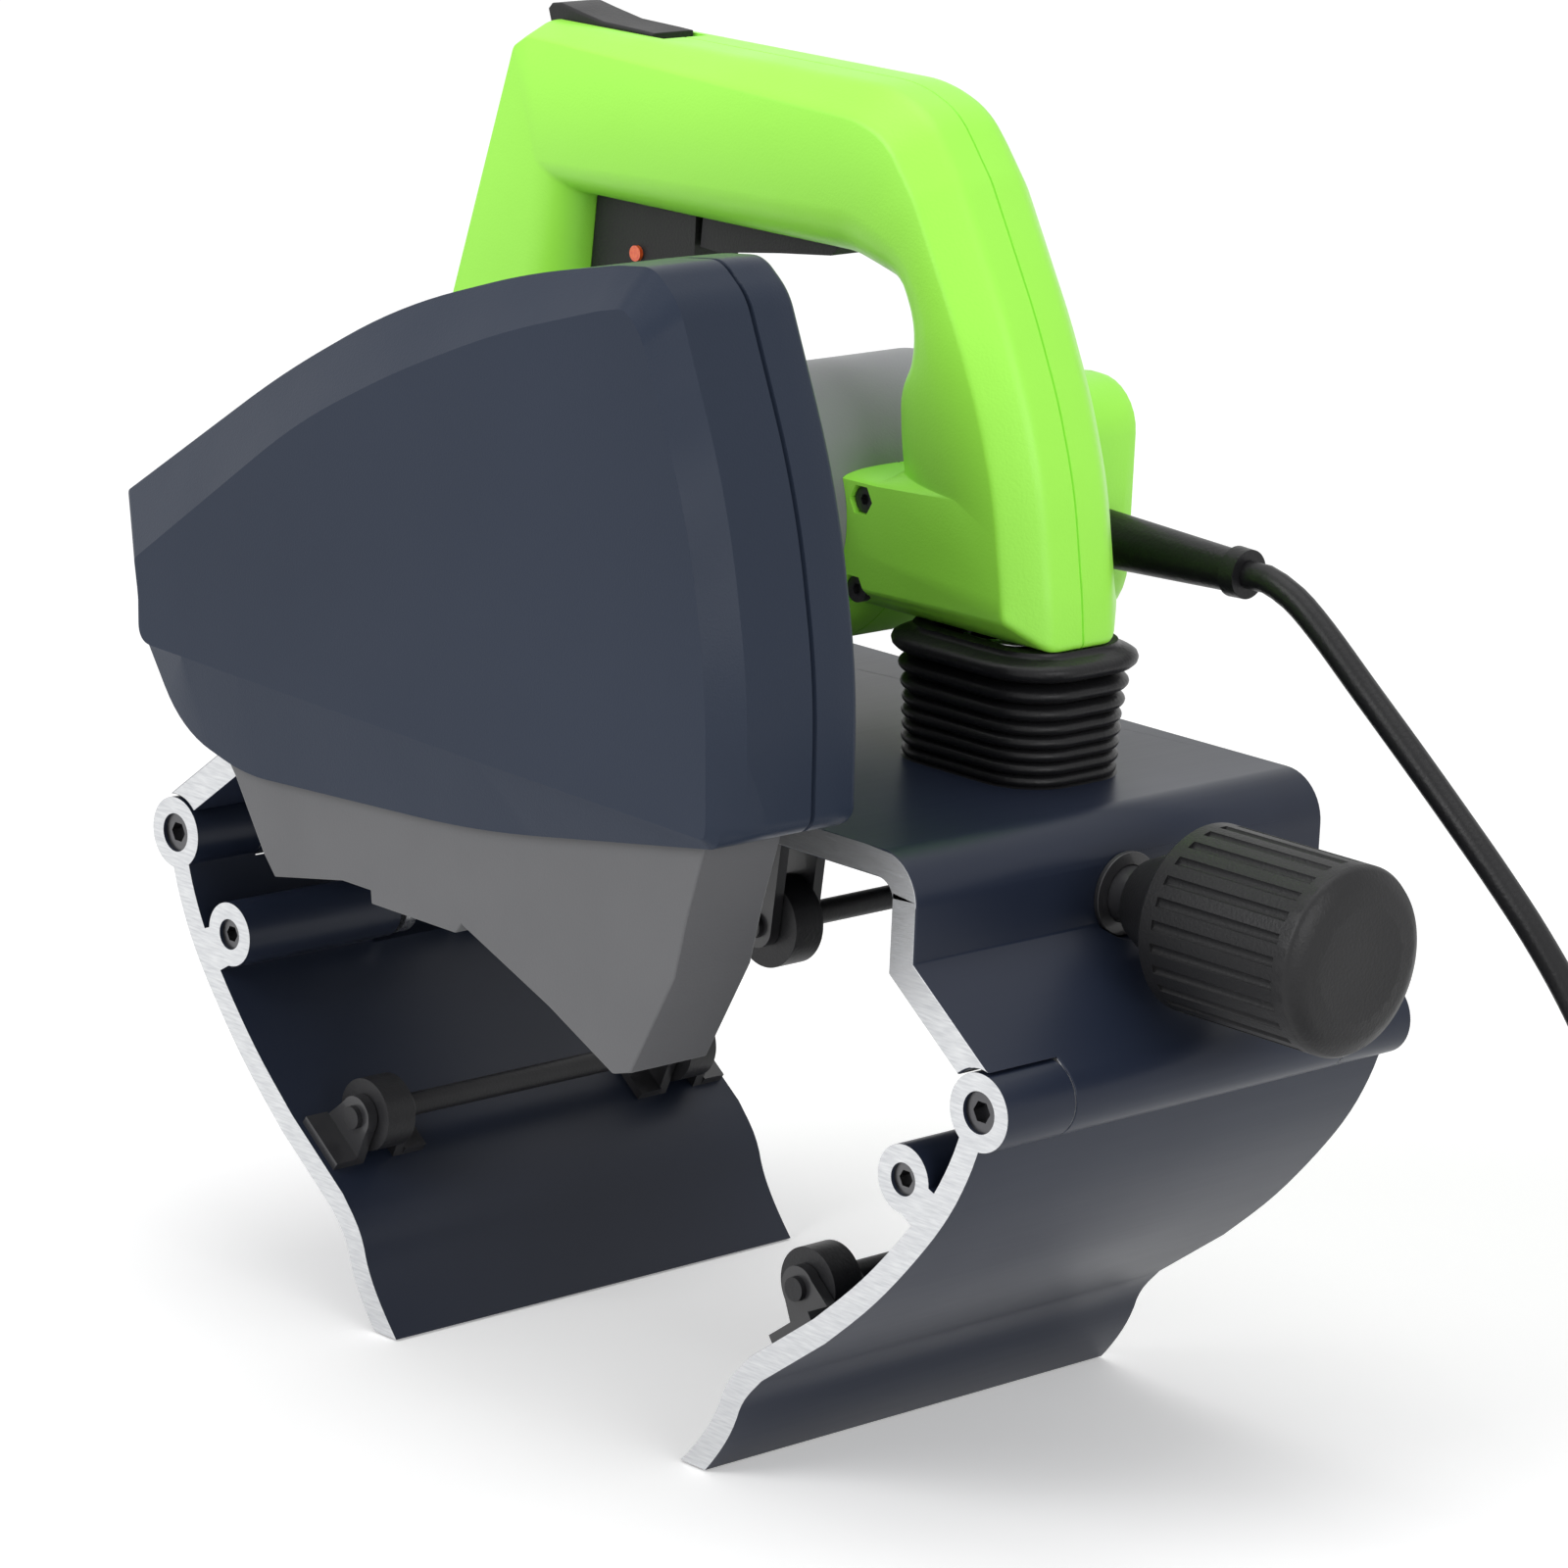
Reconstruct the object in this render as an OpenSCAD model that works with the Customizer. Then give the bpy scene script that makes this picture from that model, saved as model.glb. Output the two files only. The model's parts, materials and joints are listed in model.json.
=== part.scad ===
// Electric pipe cutter: a clamping gripper frame, a plunging circular saw unit on a hinge,
// a two-part D-handle, a spring bellows and a mains lead.
// Tool frame: X to the knob side, Y along the pipe away from the blade, Z up,
// zero midway between the two jaw pivots on the front face of the gripper frame.

/* [Gripper frame] */
// Length of the frame along the pipe
frame_len = 138; // [130:1:150]
// Half the outside width of the frame
frame_half_w = 124.7; // [122:0.1:127]
// Height of the frame's top face above the jaw pivots
frame_top = 54.5; // [53:0.1:56]
// Thickness of the side walls
side_wall = 8; // [6:0.1:9]
// Thickness of the top plate
top_wall = 7; // [6:0.1:8]
// Outside radius of the top corners
corner_r = 12; // [10:0.5:14]
// Height at which the side walls start to spread
shoulder_z = 29.5; // [28:0.1:31]
// Half the distance between the jaw pivots
pivot_x = 148; // [145:0.5:151]
// Radius of the hinge knuckles
knuckle_r = 9.4; // [8.8:0.1:10]
// Length of each jaw's end knuckles
jaw_knuckle = 22; // [18:0.5:24]
// Radius of the long hinge pins
pin_r = 5; // [4:0.1:5.5]

/* [Jaws] */
// Height of the jaw pivots above the floor
jaw_drop = 112.5; // [111:0.5:115]
// Wall of the jaw extrusion
jaw_wall = 6.6; // [5.5:0.1:7.5]
// Radius of the second boss
boss_r = 8.4; // [7.6:0.1:9]
// Distance of the second boss inwards from the pivot
boss_in = 23.2; // [22:0.1:24]
// Distance of the second boss below the pivot
boss_down = 22.1; // [21:0.1:23]
// Width of the window for the links, along the pipe
window_w = 36; // [35:0.5:40]

/* [Clamp drive] */
// Height of the clamp screw above the jaw pivots
screw_z = 36; // [35:0.1:37]
// Radius of the clamp screw
screw_r = 6.9; // [5:0.1:7.2]
// Width of each nut along the screw
nut_len = 18; // [14:0.5:22]
// Width of each nut along the pipe
nut_w = 23.4; // [22:0.1:25]
// Distance between the two pivots of a link
link_len = 80; // [79:0.1:81]
// Radius of the link eyes
link_r = 8; // [7:0.1:9]
// Thickness of a link plate
link_t = 3.7; // [3:0.1:4]
// Radius of the link pins
link_pin_r = 4; // [3:0.1:4.5]
// Distance from the side wall to the knob
knob_gap = 8.3; // [6:0.1:12]
// Length of the knob's grooved body
knob_len = 46; // [40:0.5:50]
// Radius of the knob
knob_r = 22.8; // [20:0.1:24]
// Number of grooves round the knob
knob_grooves = 26; // [16:1:30]

/* [Wheels] */
// Radius of the frame's wheels
top_wheel_r = 11; // [10:0.1:12]
// Half the distance between the frame's wheel axles
top_wheel_x = 38; // [36:0.5:40]
// Height of the frame's wheel axles above the jaw pivots
top_wheel_z = 13.4; // [12:0.1:15]
// Radius of the jaw wheels
jaw_wheel_r = 9.5; // [8.5:0.1:9.7]
// Width of every wheel
wheel_w = 9; // [7:0.1:11]
// Radius of the wheel axles
axle_r = 3; // [2.5:0.1:3.5]

/* [Motor and gears] */
// Height of the motor axis above the jaw pivots
motor_z = 108; // [107:0.5:109]
// Outside radius of the motor housing
motor_r = 33; // [32.5:0.1:33.5]
// Wall of the motor housing
motor_wall = 3; // [2:0.1:3.2]
// Front end of the motor housing
motor_y0 = 24; // [23:0.5:25]
// Rear end of the motor housing
motor_y1 = 117; // [115:0.5:118]
// Teeth on the motor pinion
pinion_teeth = 9; // [9:1:9]
// Teeth on the spindle gear
gear_teeth = 36; // [36:1:36]
// Gear module
gear_mod = 1.5; // [1.48:0.01:1.52]
// Angle from the motor axis down to the spindle axis
spindle_drop_deg = 26.6; // [25:0.1:28]
// Outside radius of the gear housing
gearbox_r = 34; // [33:0.1:34.5]
// Radius of the motor shaft
shaft_r = 4; // [3.5:0.1:4.5]
// Radius of the blade spindle
spindle_r = 8; // [7:0.1:9]

/* [Saw blade] */
// Radius of the blade
blade_r = 70; // [68:0.5:71]
// Thickness of the blade
blade_t = 1.8; // [1.4:0.1:2.4]
// Radius of the blade's bore
blade_bore_r = 31; // [28:0.1:33]
// Number of blade teeth
blade_teeth = 46; // [30:1:60]
// Front face of the blade
blade_y = -33; // [-33.5:0.1:-32.5]
// Radius of the blade flanges
flange_r = 36; // [35:0.1:38]

/* [Fixed guard] */
// Front face of the guard
guard_front = 50; // [49:0.5:52]
// Depth of the bevel round the front face
guard_bevel = 9; // [7:0.5:11]
// Depth of the seam between cover and rear shell
guard_seam = 20; // [18:0.5:22]
// Depth of the guard's rear face
guard_back = 6; // [5:0.5:6]
// Wall of the guard
guard_wall = 2.2; // [1.6:0.1:2.6]

/* [Lower guard] */
// Running gap between the lower guard and the fixed guard's lower band
skirt_gap = 0.5; // [0.3:0.1:0.8]
// Wall of the lower guard
skirt_wall = 2.4; // [1.6:0.1:2.6]
// Depth of the lower guard along the pipe
skirt_depth = 24; // [22:0.5:25]
// Width of the slot that lets the blade through
skirt_slot = 9; // [7:0.5:10]
// Radius of the pivot post
post_r = 5; // [4:0.1:6]

/* [Handle] */
// Seam plane of the two handle halves
seam_y = 81; // [80:0.5:82]
// Half the width of the handle
grip_half = 19.5; // [18.5:0.1:20.5]
// Top face of the handle
bar_top = 215; // [213:0.5:218]
// Underside of the grip bar
bar_under = 172.5; // [171:0.5:174]
// Top of the handle's base
base_top = 121.5; // [120:0.5:123]
// Underside of the handle's base
base_under = 87.5; // [87:0.1:88.5]
// Wall of the handle shells
shell_wall = 3; // [2:0.1:3.4]
// Rounding of the grip's edges
grip_round = 8; // [6:0.5:9]

/* [Rear cap and lead outlet] */
// Rear face of the cap
cap_back = 140; // [138:0.5:142]
// Top of the cap
cap_top = 141; // [141:0.5:143]
// Underside of the cap
cap_under = 76; // [72:0.5:76]
// Left side of the cap
cap_left = -44; // [-46:0.5:-42]
// Right side of the cap
cap_right = 56; // [54:0.5:57]
// Length of the strain relief
relief_len = 49; // [40:1:49]
// Radius of the strain relief at the cap
relief_r = 6.6; // [6:0.1:7]

/* [Bellows and return spring] */
// Number of ribs
ribs = 7; // [5:1:9]
// Depth of a rib
rib_depth = 2.6; // [1.5:0.1:3]
// Wall of the bellows
bellows_wall = 1.6; // [1.2:0.1:2]
// Turns of the return spring
spring_turns = 6; // [5:1:7]
// Radius of the return spring
spring_r = 12; // [10:0.5:13]
// Radius of the spring's wire
wire_r = 1; // [0.8:0.1:1.2]

/* [Unit hinge] */
// Distance of the unit's hinge from the middle of the frame
hinge_x = 105; // [104:0.5:106]
// Height of the unit's hinge above the jaw pivots
hinge_z = 68; // [67.5:0.5:69]
// Radius of the unit's hinge pin
hinge_pin_r = 4; // [3:0.1:4.5]

/* [Mains lead] */
// Diameter of the lead
cord_d = 7; // [6.8:0.1:7.2]
// Turns in the coil
coil_turns = 7.25; // [7.25:1:7.25]
// Radius of the innermost turn
coil_in = 28; // [28:0.5:30]
// Distance between turns that lie beside or on each other
coil_pitch = 7.6; // [7.5:0.1:8]

/* [Hidden] */

// Running clearance of a shaft in its hole, and of parts that move past each other
fit = 0.05;
air = 0.3;
smooth = 64;

navy = [0.13, 0.16, 0.23];
lime = [0.48, 0.85, 0.13];
black = [0.08, 0.08, 0.09];
dark_grey = [0.24, 0.25, 0.28];
mid_grey = [0.36, 0.37, 0.39];
steel = [0.72, 0.73, 0.75];

// Places worked out from the sizes above
mid_y = frame_len / 2;
floor_z = -jaw_drop;
plate_under = frame_top - top_wall;
motor_x = 0;
gear_gap = gear_mod * (pinion_teeth + gear_teeth) / 2;
blade_x = motor_x + gear_gap * cos(spindle_drop_deg);
blade_z = motor_z - gear_gap * sin(spindle_drop_deg);
knob_x = frame_half_w + knob_gap;
knob_hub = 17;
knob_dome = 4;
knob_end = knob_x + knob_hub + knob_len + knob_dome;
slider_top = bar_top + 4;

// The whole model hangs from the middle of its own box, cord left out, standing on the jaw tips
origin = [(knob_end - pivot_x - knuckle_r) / 2, (cap_back - guard_front) / 2, floor_z];
module at_tool() {
    translate(-origin) children();
}

// Straight pieces: an outline in X and Z that runs along Y, and round rods along Y and along X
module along_y(y0, y1) {
    translate([0, y1, 0]) rotate([90, 0, 0]) linear_extrude(y1 - y0) children();
}
module rod_y(x, z, y0, y1, r, sides = smooth) {
    translate([x, y0, z]) rotate([-90, 0, 0]) cylinder(h = y1 - y0, r = r, $fn = sides);
}
module rod_x(y, z, x0, x1, r, sides = smooth) {
    translate([x0, y, z]) rotate([0, 90, 0]) cylinder(h = x1 - x0, r = r, $fn = sides);
}
module box(a, b) {
    translate(a) cube(b - a);
}
// A ring along Y
module ring_y(x, z, y0, y1, r_out, r_in) {
    difference() {
        rod_y(x, z, y0, y1, r_out);
        rod_y(x, z, y0 - 1, y1 + 1, r_in);
    }
}

// Outlines: an arc, the mirrored second half, and an outline drawn in by a distance
function unit(v) = v / norm(v);
function arc(c, r, a0, a1, n) =
    [for (i = [0 : n]) c + r * [cos(a0 + (a1 - a0) * i / n), sin(a0 + (a1 - a0) * i / n)]];
function reversed(p) = [for (i = [len(p) - 1 : -1 : 0]) p[i]];
function with_mirror(p) = concat(p, [for (q = reversed(p)) [-q[0], q[1]]]);
function corner_shift(a, b, c) =
    let (u = unit(b - a), v = unit(c - b), n = [-u[1] - v[1], u[0] + v[0]])
    n / (1 + u * v);
function inset(p, d, share = []) =
    [for (i = [0 : len(p) - 1])
        let (n = len(p), k = len(share) == 0 ? 1 : share[i])
        p[i] + d * k * corner_shift(p[(i + n - 1) % n], p[i], p[(i + 1) % n])];
function at_y(p, y) = [for (q = p) [q[0], y, q[1]]];
// Softens an outline: each corner that isn't kept is cut off a quarter of the way along its two sides
function cut_corners(p, keep) =
    [for (i = [0 : len(p) - 1])
        let (n = len(p), a = p[(i + n - 1) % n], b = p[i], c = p[(i + 1) % n])
        each keep[i] ? [b] : [0.75 * b + 0.25 * a, 0.75 * b + 0.25 * c]];
function cut_flags(keep) = [for (k = keep) each k ? [true] : [false, false]];
function softened(p, keep) = cut_corners(cut_corners(p, keep), cut_flags(keep));

// A skin over rings that all have the same number of points, closed at both ends
module skin(rings) {
    n = len(rings[0]);
    m = len(rings);
    side = [for (j = [0 : m - 2], i = [0 : n - 1])
        let (k = (i + 1) % n)
        each [[j * n + i, j * n + k, j * n + n + k], [j * n + i, j * n + n + k, j * n + n + i]]];
    front = [[for (i = [n - 1 : -1 : 0]) i]];
    back = [[for (i = [0 : n - 1]) (m - 1) * n + i]];
    polyhedron(points = [for (r = rings) each r], faces = concat(front, side, back), convexity = 6);
}

// Rings of a round tube along points; side_ref is a direction that the tube never follows
function tangent(p, i) = unit(p[min(i + 1, len(p) - 1)] - p[max(i - 1, 0)]);
function tube_rings(p, r, sides, side_ref) =
    [for (i = [0 : len(p) - 1])
        let (t = tangent(p, i), u = unit(cross(t, side_ref)), w = cross(u, t))
        [for (k = [0 : sides - 1]) p[i] + r * (u * cos(360 * k / sides) + w * sin(360 * k / sides))]];
function path_length(p) = len(p) < 2 ? 0 : [for (i = [1 : len(p) - 1]) norm(p[i] - p[i - 1])] * [for (i = [1 : len(p) - 1]) 1];

// Gripper frame

frame_corner = [frame_half_w, shoulder_z];
pivot = [pivot_x, 0];
spread = norm(pivot - frame_corner);
spread_deg = atan2(-shoulder_z, pivot_x - frame_half_w) + asin(knuckle_r / spread);
spread_dir = [cos(spread_deg), sin(spread_deg)];
spread_len = sqrt(spread * spread - knuckle_r * knuckle_r);
inner_line = frame_corner + side_wall * [spread_dir[1], -spread_dir[0]];
inner_x = frame_half_w - side_wall;
inner_corner = inner_line + spread_dir * (inner_x - inner_line[0]) / spread_dir[0];
inner_r = corner_r - top_wall;
frame_outside = concat([frame_corner + spread_dir * spread_len, frame_corner],
    arc([frame_half_w - corner_r, frame_top - corner_r], corner_r, 0, 90, 12));
frame_inside = concat([inner_line + spread_dir * spread_len, inner_corner],
    arc([inner_x - inner_r, plate_under - inner_r], inner_r, 0, 90, 8));
end_gap = 0.4;
jaw_gap = 0.8;
bushing_r = 9;
bushing_lip_r = 10.2;
bushing_lip = 1.5;
bushing_in = 1.6;
notch_x = [blade_x - gearbox_r - 2, blade_x + gearbox_r + 2];
notch_y = motor_y0 + 2;

module gripper_frame() {
    middle = [jaw_knuckle + end_gap, frame_len - jaw_knuckle - end_gap];
    at_tool() color(navy) difference() {
        union() {
            along_y(0, frame_len) polygon(concat(with_mirror(frame_outside), reversed(with_mirror(frame_inside))));
            for (s = [-1, 1]) rod_y(s * pivot_x, 0, middle[0], middle[1], knuckle_r);
        }
        for (s = [-1, 1]) {
            rod_y(s * pivot_x, 0, -1, frame_len + 1, pin_r);
            rod_y(s * pivot_x, 0, -1, middle[0], knuckle_r + jaw_gap);
            rod_y(s * pivot_x, 0, middle[1], frame_len + 1, knuckle_r + jaw_gap);
            scale([s, 1, 1]) rod_x(mid_y, screw_z, inner_x - 5, frame_half_w + 1, bushing_r);
            scale([s, 1, 1]) rod_x(mid_y, screw_z, frame_half_w, frame_half_w + 12, bushing_lip_r + air);
        }
        box([notch_x[0], -1, plate_under - 1], [notch_x[1], notch_y, frame_top + 1]);
        hinge_bolt_rods(plate_under - 1, frame_top + 1, hinge_bolt_r);
    }
}

module hinge_pins() {
    at_tool() color(steel) for (s = [-1, 1]) socket_pin(s * pivot_x, 0, pin_r);
}

// A long pin with a hexagon socket in its front end
pin_end = 1;
module socket_pin(x, z, r) {
    difference() {
        rod_y(x, z, pin_end, frame_len - pin_end, r);
        rod_y(x, z, pin_end - 1, pin_end + 3, r * 0.55, 6);
    }
}

module screw_bushings() {
    at_tool() color(steel) for (s = [-1, 1]) scale([s, 1, 1]) difference() {
        union() {
            rod_x(mid_y, screw_z, inner_x - bushing_in, frame_half_w, bushing_r);
            rod_x(mid_y, screw_z, frame_half_w, frame_half_w + bushing_lip, bushing_lip_r);
        }
        rod_x(mid_y, screw_z, inner_x - bushing_in - 1, frame_half_w + bushing_lip + 1, screw_r + fit);
    }
}

// Wheels: brackets with feet, and an axle with a wheel near each end

bracket_t = 3;
foot_w = 7;
foot_t = 2.5;
eye_r = 5.5;
wheel_gap = 0.4;

// One cheek: a plate whose eye lies at the origin and whose foot lies at height h
module cheek(y, side, h, half_w) {
    up = h > 0 ? 1 : -1;
    inner = y + side * (wheel_w / 2 + wheel_gap);
    outer = inner + side * bracket_t;
    difference() {
        union() {
            rod_y(0, 0, min(inner, outer), max(inner, outer), eye_r);
            along_y(min(inner, outer), max(inner, outer))
                polygon([[-eye_r, 0], [eye_r, 0], [half_w, h], [-half_w, h]]);
            box([-half_w, min(outer, outer + side * foot_w), min(h, h - up * foot_t)],
                [half_w, max(outer, outer + side * foot_w), max(h, h - up * foot_t)]);
        }
        rod_y(0, 0, y - 20, y + 20, axle_r + fit);
    }
}
module wheel_set(y0, y1, r) {
    over = wheel_w / 2 + wheel_gap + bracket_t + 1.5;
    rod_y(0, 0, y0 - over, y1 + over, axle_r);
    for (y = [y0, y1]) ring_y(0, 0, y - wheel_w / 2, y + wheel_w / 2, r, axle_r);
}

top_wheel_off = 29;
top_wheel_y = [mid_y - top_wheel_off, mid_y + top_wheel_off];
top_foot_half = 9;
module frame_wheel_brackets() {
    at_tool() color(black) for (s = [-1, 1], y = top_wheel_y, side = [-1, 1])
        translate([s * top_wheel_x, 0, top_wheel_z]) cheek(y, side, plate_under - top_wheel_z, top_foot_half);
}
module frame_wheels(s) {
    at_tool() color(black) translate([s * top_wheel_x, 0, top_wheel_z])
        wheel_set(top_wheel_y[0], top_wheel_y[1], top_wheel_r);
}
module frame_wheels_left() { frame_wheels(-1); }
module frame_wheels_right() { frame_wheels(1); }

// Jaws, drawn for the right side from the pivot and mirrored for the left

toe_in = 79.5;
jaw_line = [[-1, -3], [-4.5, -14], [-11, -26.5], [-21.5, -40], [-34, -53.8], [-48.5, -66.5], [-69.5, -82],
    [-76.5, 23 - jaw_drop], [-toe_in, 14 - jaw_drop], [-toe_in - 6, 5 - jaw_drop], [-toe_in - 14, -4 - jaw_drop]];
// The ends of the line and the flat seat of the wheel brackets stay as drawn
jaw_crisp = [for (i = [0 : len(jaw_line) - 1]) i == 0 || i == 5 || i == 6 || i == len(jaw_line) - 1];
jaw_curve = softened(jaw_line, jaw_crisp);
function band_side(p, d) =
    [for (i = [0 : len(p) - 1])
        let (a = i == 0 ? 2 * p[0] - p[1] : p[i - 1], c = i == len(p) - 1 ? 2 * p[i] - p[i - 1] : p[i + 1])
        p[i] + d * corner_shift(a, p[i], c)];
pad_from = jaw_line[5];
pad_dir = unit(jaw_line[5] - jaw_line[6]);
pad_at = 0.42;
pad_place = pad_from * (1 - pad_at) + jaw_line[6] * pad_at;
pad_deg = -atan2(pad_dir[1], pad_dir[0]);
pad_h = jaw_wall / 2 + jaw_wheel_r + 0.6;
jaw_wheel_in = 16.5;
jaw_wheel_y = [jaw_wheel_in, frame_len - jaw_wheel_in];
pad_foot_half = 8;
eye_slack = 1.2;
window = [mid_y - window_w / 2, mid_y + window_w / 2];

module on_jaw(s) {
    at_tool() scale([s, 1, 1]) translate([pivot_x, 0, 0]) children();
}
module at_pad() {
    translate([pad_place[0], 0, pad_place[1]]) rotate([0, pad_deg, 0]) translate([0, 0, pad_h]) children();
}
module jaw(s) {
    on_jaw(s) color(navy) difference() {
        union() {
            rod_y(0, 0, 0, frame_len, knuckle_r);
            rod_y(-boss_in, -boss_down, 0, frame_len, boss_r);
            along_y(0, frame_len)
                polygon(concat(band_side(jaw_curve, jaw_wall / 2), reversed(band_side(jaw_curve, -jaw_wall / 2))));
            along_y(0, frame_len)
                polygon([[-boss_in, -boss_down - boss_r], [-17.5, -34], [-10, -24], [-boss_in + boss_r, -boss_down]]);
        }
        rod_y(0, 0, -1, frame_len + 1, pin_r + fit);
        rod_y(0, 0, jaw_knuckle, frame_len - jaw_knuckle, knuckle_r + jaw_gap);
        rod_y(-boss_in, -boss_down, -1, frame_len + 1, link_pin_r);
        rod_y(-boss_in, -boss_down, window[0], window[1], link_r + 3.4);
        box([-120, -1, floor_z - 20], [0, frame_len + 1, floor_z]);
    }
}
module jaw_left() { jaw(-1); }
module jaw_right() { jaw(1); }
module jaw_pin(s) {
    on_jaw(s) color(steel) socket_pin(-boss_in, -boss_down, link_pin_r);
}
module jaw_pin_left() { jaw_pin(-1); }
module jaw_pin_right() { jaw_pin(1); }
module jaw_brackets(s) {
    on_jaw(s) color(black) at_pad() for (y = jaw_wheel_y, side = [-1, 1])
        cheek(y, side, jaw_wall / 2 - pad_h, pad_foot_half);
}
module jaw_brackets_left() { jaw_brackets(-1); }
module jaw_brackets_right() { jaw_brackets(1); }
module jaw_wheels(s) {
    on_jaw(s) color(black) at_pad() wheel_set(jaw_wheel_y[0], jaw_wheel_y[1], jaw_wheel_r);
}
module jaw_wheels_left() { jaw_wheels(-1); }
module jaw_wheels_right() { jaw_wheels(1); }

// Clamp drive: a screw with a left-hand and a right-hand thread, two nuts and two links

nut_half_h = 10;
nut_x = pivot_x - boss_in - sqrt(link_len * link_len - pow(screw_z + boss_down, 2));
link_y = nut_w / 2 + air;
cap_t = 1.5;
collar_w = 4;

module clamp_screw() {
    end = frame_half_w + bushing_lip + air + collar_w + 1;
    collar_r = bushing_r + 1;
    collar_end = inner_x - bushing_in - air;
    at_tool() color(steel) union() {
        rod_x(mid_y, screw_z, -end, knob_x + knob_hub + 10, screw_r);
        rod_x(mid_y, screw_z, 1 - end, 1 - end + collar_w, collar_r);
        rod_x(mid_y, screw_z, collar_end - collar_w, collar_end, collar_r);
    }
}
module clamp_knob() {
    at_tool() color(black) translate([knob_x, mid_y, screw_z]) rotate([0, 90, 0]) difference() {
        rotate_extrude($fn = 96) polygon([[screw_r, 0], [10, 0], [16.5, knob_hub - 3], [knob_r - 1.3, knob_hub],
            [knob_r, knob_hub + 1.5], [knob_r, knob_hub + knob_len], [knob_r - 1, knob_hub + knob_len + 1.6],
            [knob_r - 4, knob_hub + knob_len + 3.2], [knob_r - 9, knob_hub + knob_len + knob_dome],
            [0, knob_hub + knob_len + knob_dome], [0, knob_hub + 10], [screw_r, knob_hub + 10]]);
        for (i = [0 : knob_grooves - 1]) rotate(360 * i / knob_grooves) translate([knob_r + 0.4, 0, knob_hub + 5])
            cylinder(h = knob_len - 8, r = 1.3, $fn = 16);
    }
}
module nut(s) {
    reach = link_y + link_t + air;
    at_tool() color(steel) scale([s, 1, 1]) translate([nut_x, mid_y, screw_z]) difference() {
        union() {
            box([-nut_len / 2, -nut_w / 2, -nut_half_h], [nut_len / 2, nut_w / 2, plate_under - air - screw_z]);
            rod_y(0, 0, -reach - cap_t, reach + cap_t, link_pin_r);
            for (a = [-1, 1]) rod_y(0, 0, min(a * reach, a * (reach + cap_t)), max(a * reach, a * (reach + cap_t)),
                link_pin_r + 2);
        }
        rod_x(0, 0, -nut_len, nut_len, screw_r + fit);
    }
}
module nut_left() { nut(-1); }
module nut_right() { nut(1); }
module link(s) {
    drop = atan2(-screw_z - boss_down, pivot_x - boss_in - nut_x);
    at_tool() color(mid_grey) scale([s, 1, 1]) translate([nut_x, mid_y, screw_z]) rotate([0, -drop, 0]) difference() {
        union() {
            for (a = [-1, 1]) {
                y0 = min(a * link_y, a * (link_y + link_t));
                rod_y(0, 0, y0, y0 + link_t, link_r);
                rod_y(link_len, 0, y0, y0 + link_t, link_r);
                box([0, y0, -link_r * 0.75], [link_len, y0 + link_t, link_r * 0.75]);
            }
            rod_y(link_len / 2, 0, -link_y, link_y, link_pin_r);
        }
        rod_y(0, 0, -30, 30, link_pin_r + fit);
        rod_y(link_len, 0, -30, 30, link_pin_r + eye_slack);
    }
}
module link_left() { link(-1); }
module link_right() { link(1); }

// Hinge of the motor unit on the frame

lug_half = 15;
ear_t = 5;
hinge_eye_r = 9;
hinge_plate_t = 3;
hinge_plate_half = 30;
hinge_bolt_r = 3;
hinge_bolt_y = [seam_y - lug_half - ear_t - 5.5, seam_y + lug_half + ear_t + 5.5];
hinge_bolt_x = [2 - hinge_x, 14 - hinge_x];
module hinge_bolt_rods(z0, z1, r) {
    for (x = hinge_bolt_x, y = hinge_bolt_y) translate([x, y, z0]) cylinder(h = z1 - z0, r = r, $fn = 32);
}
module unit_hinge_bracket() {
    ear0 = lug_half + air;
    at_tool() color(dark_grey) difference() {
        union() {
            box([-hinge_x - 8, seam_y - hinge_plate_half, frame_top],
                [20 - hinge_x, seam_y + hinge_plate_half, frame_top + hinge_plate_t]);
            for (y0 = [seam_y - ear0 - ear_t, seam_y + ear0]) {
                rod_y(-hinge_x, hinge_z, y0, y0 + ear_t, hinge_eye_r);
                box([-hinge_x - 8, y0, frame_top + 1], [hinge_eye_r - hinge_x, y0 + ear_t, hinge_z]);
            }
        }
        rod_y(-hinge_x, hinge_z, seam_y - 40, seam_y + 40, hinge_pin_r);
        hinge_bolt_rods(frame_top - 1, frame_top + hinge_plate_t + 1, hinge_bolt_r);
    }
}
module unit_hinge_bolts() {
    top = frame_top + hinge_plate_t;
    at_tool() color(steel) difference() {
        union() {
            hinge_bolt_rods(plate_under, top + 1, hinge_bolt_r);
            hinge_bolt_rods(top, top + 3, hinge_bolt_r + 2);
        }
        for (x = hinge_bolt_x, y = hinge_bolt_y) translate([x, y, top + 1]) cylinder(h = 3, r = 1.8, $fn = 6);
    }
}
module unit_hinge_pin() {
    reach = lug_half + air + ear_t;
    at_tool() color(steel) union() {
        rod_y(-hinge_x, hinge_z, seam_y - reach, seam_y + reach, hinge_pin_r);
        rod_y(-hinge_x, hinge_z, seam_y - reach - 2, seam_y - reach, hinge_pin_r + 2.5);
        rod_y(-hinge_x, hinge_z, seam_y + reach, seam_y + reach + 2, hinge_pin_r + 2.5);
    }
}
module unit_hinge_lug() {
    plate = 4;
    at_tool() color(dark_grey) difference() {
        union() {
            box([-hinge_x - 16, seam_y - lug_half, base_under - plate], [24 - hinge_x, seam_y + lug_half, base_under]);
            box([-hinge_x - hinge_eye_r, seam_y - lug_half, hinge_z],
                [hinge_eye_r - hinge_x, seam_y + lug_half, base_under - plate + 1]);
            rod_y(-hinge_x, hinge_z, seam_y - lug_half, seam_y + lug_half, hinge_eye_r);
        }
        rod_y(-hinge_x, hinge_z, seam_y - 40, seam_y + 40, hinge_pin_r + fit);
    }
}

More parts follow.
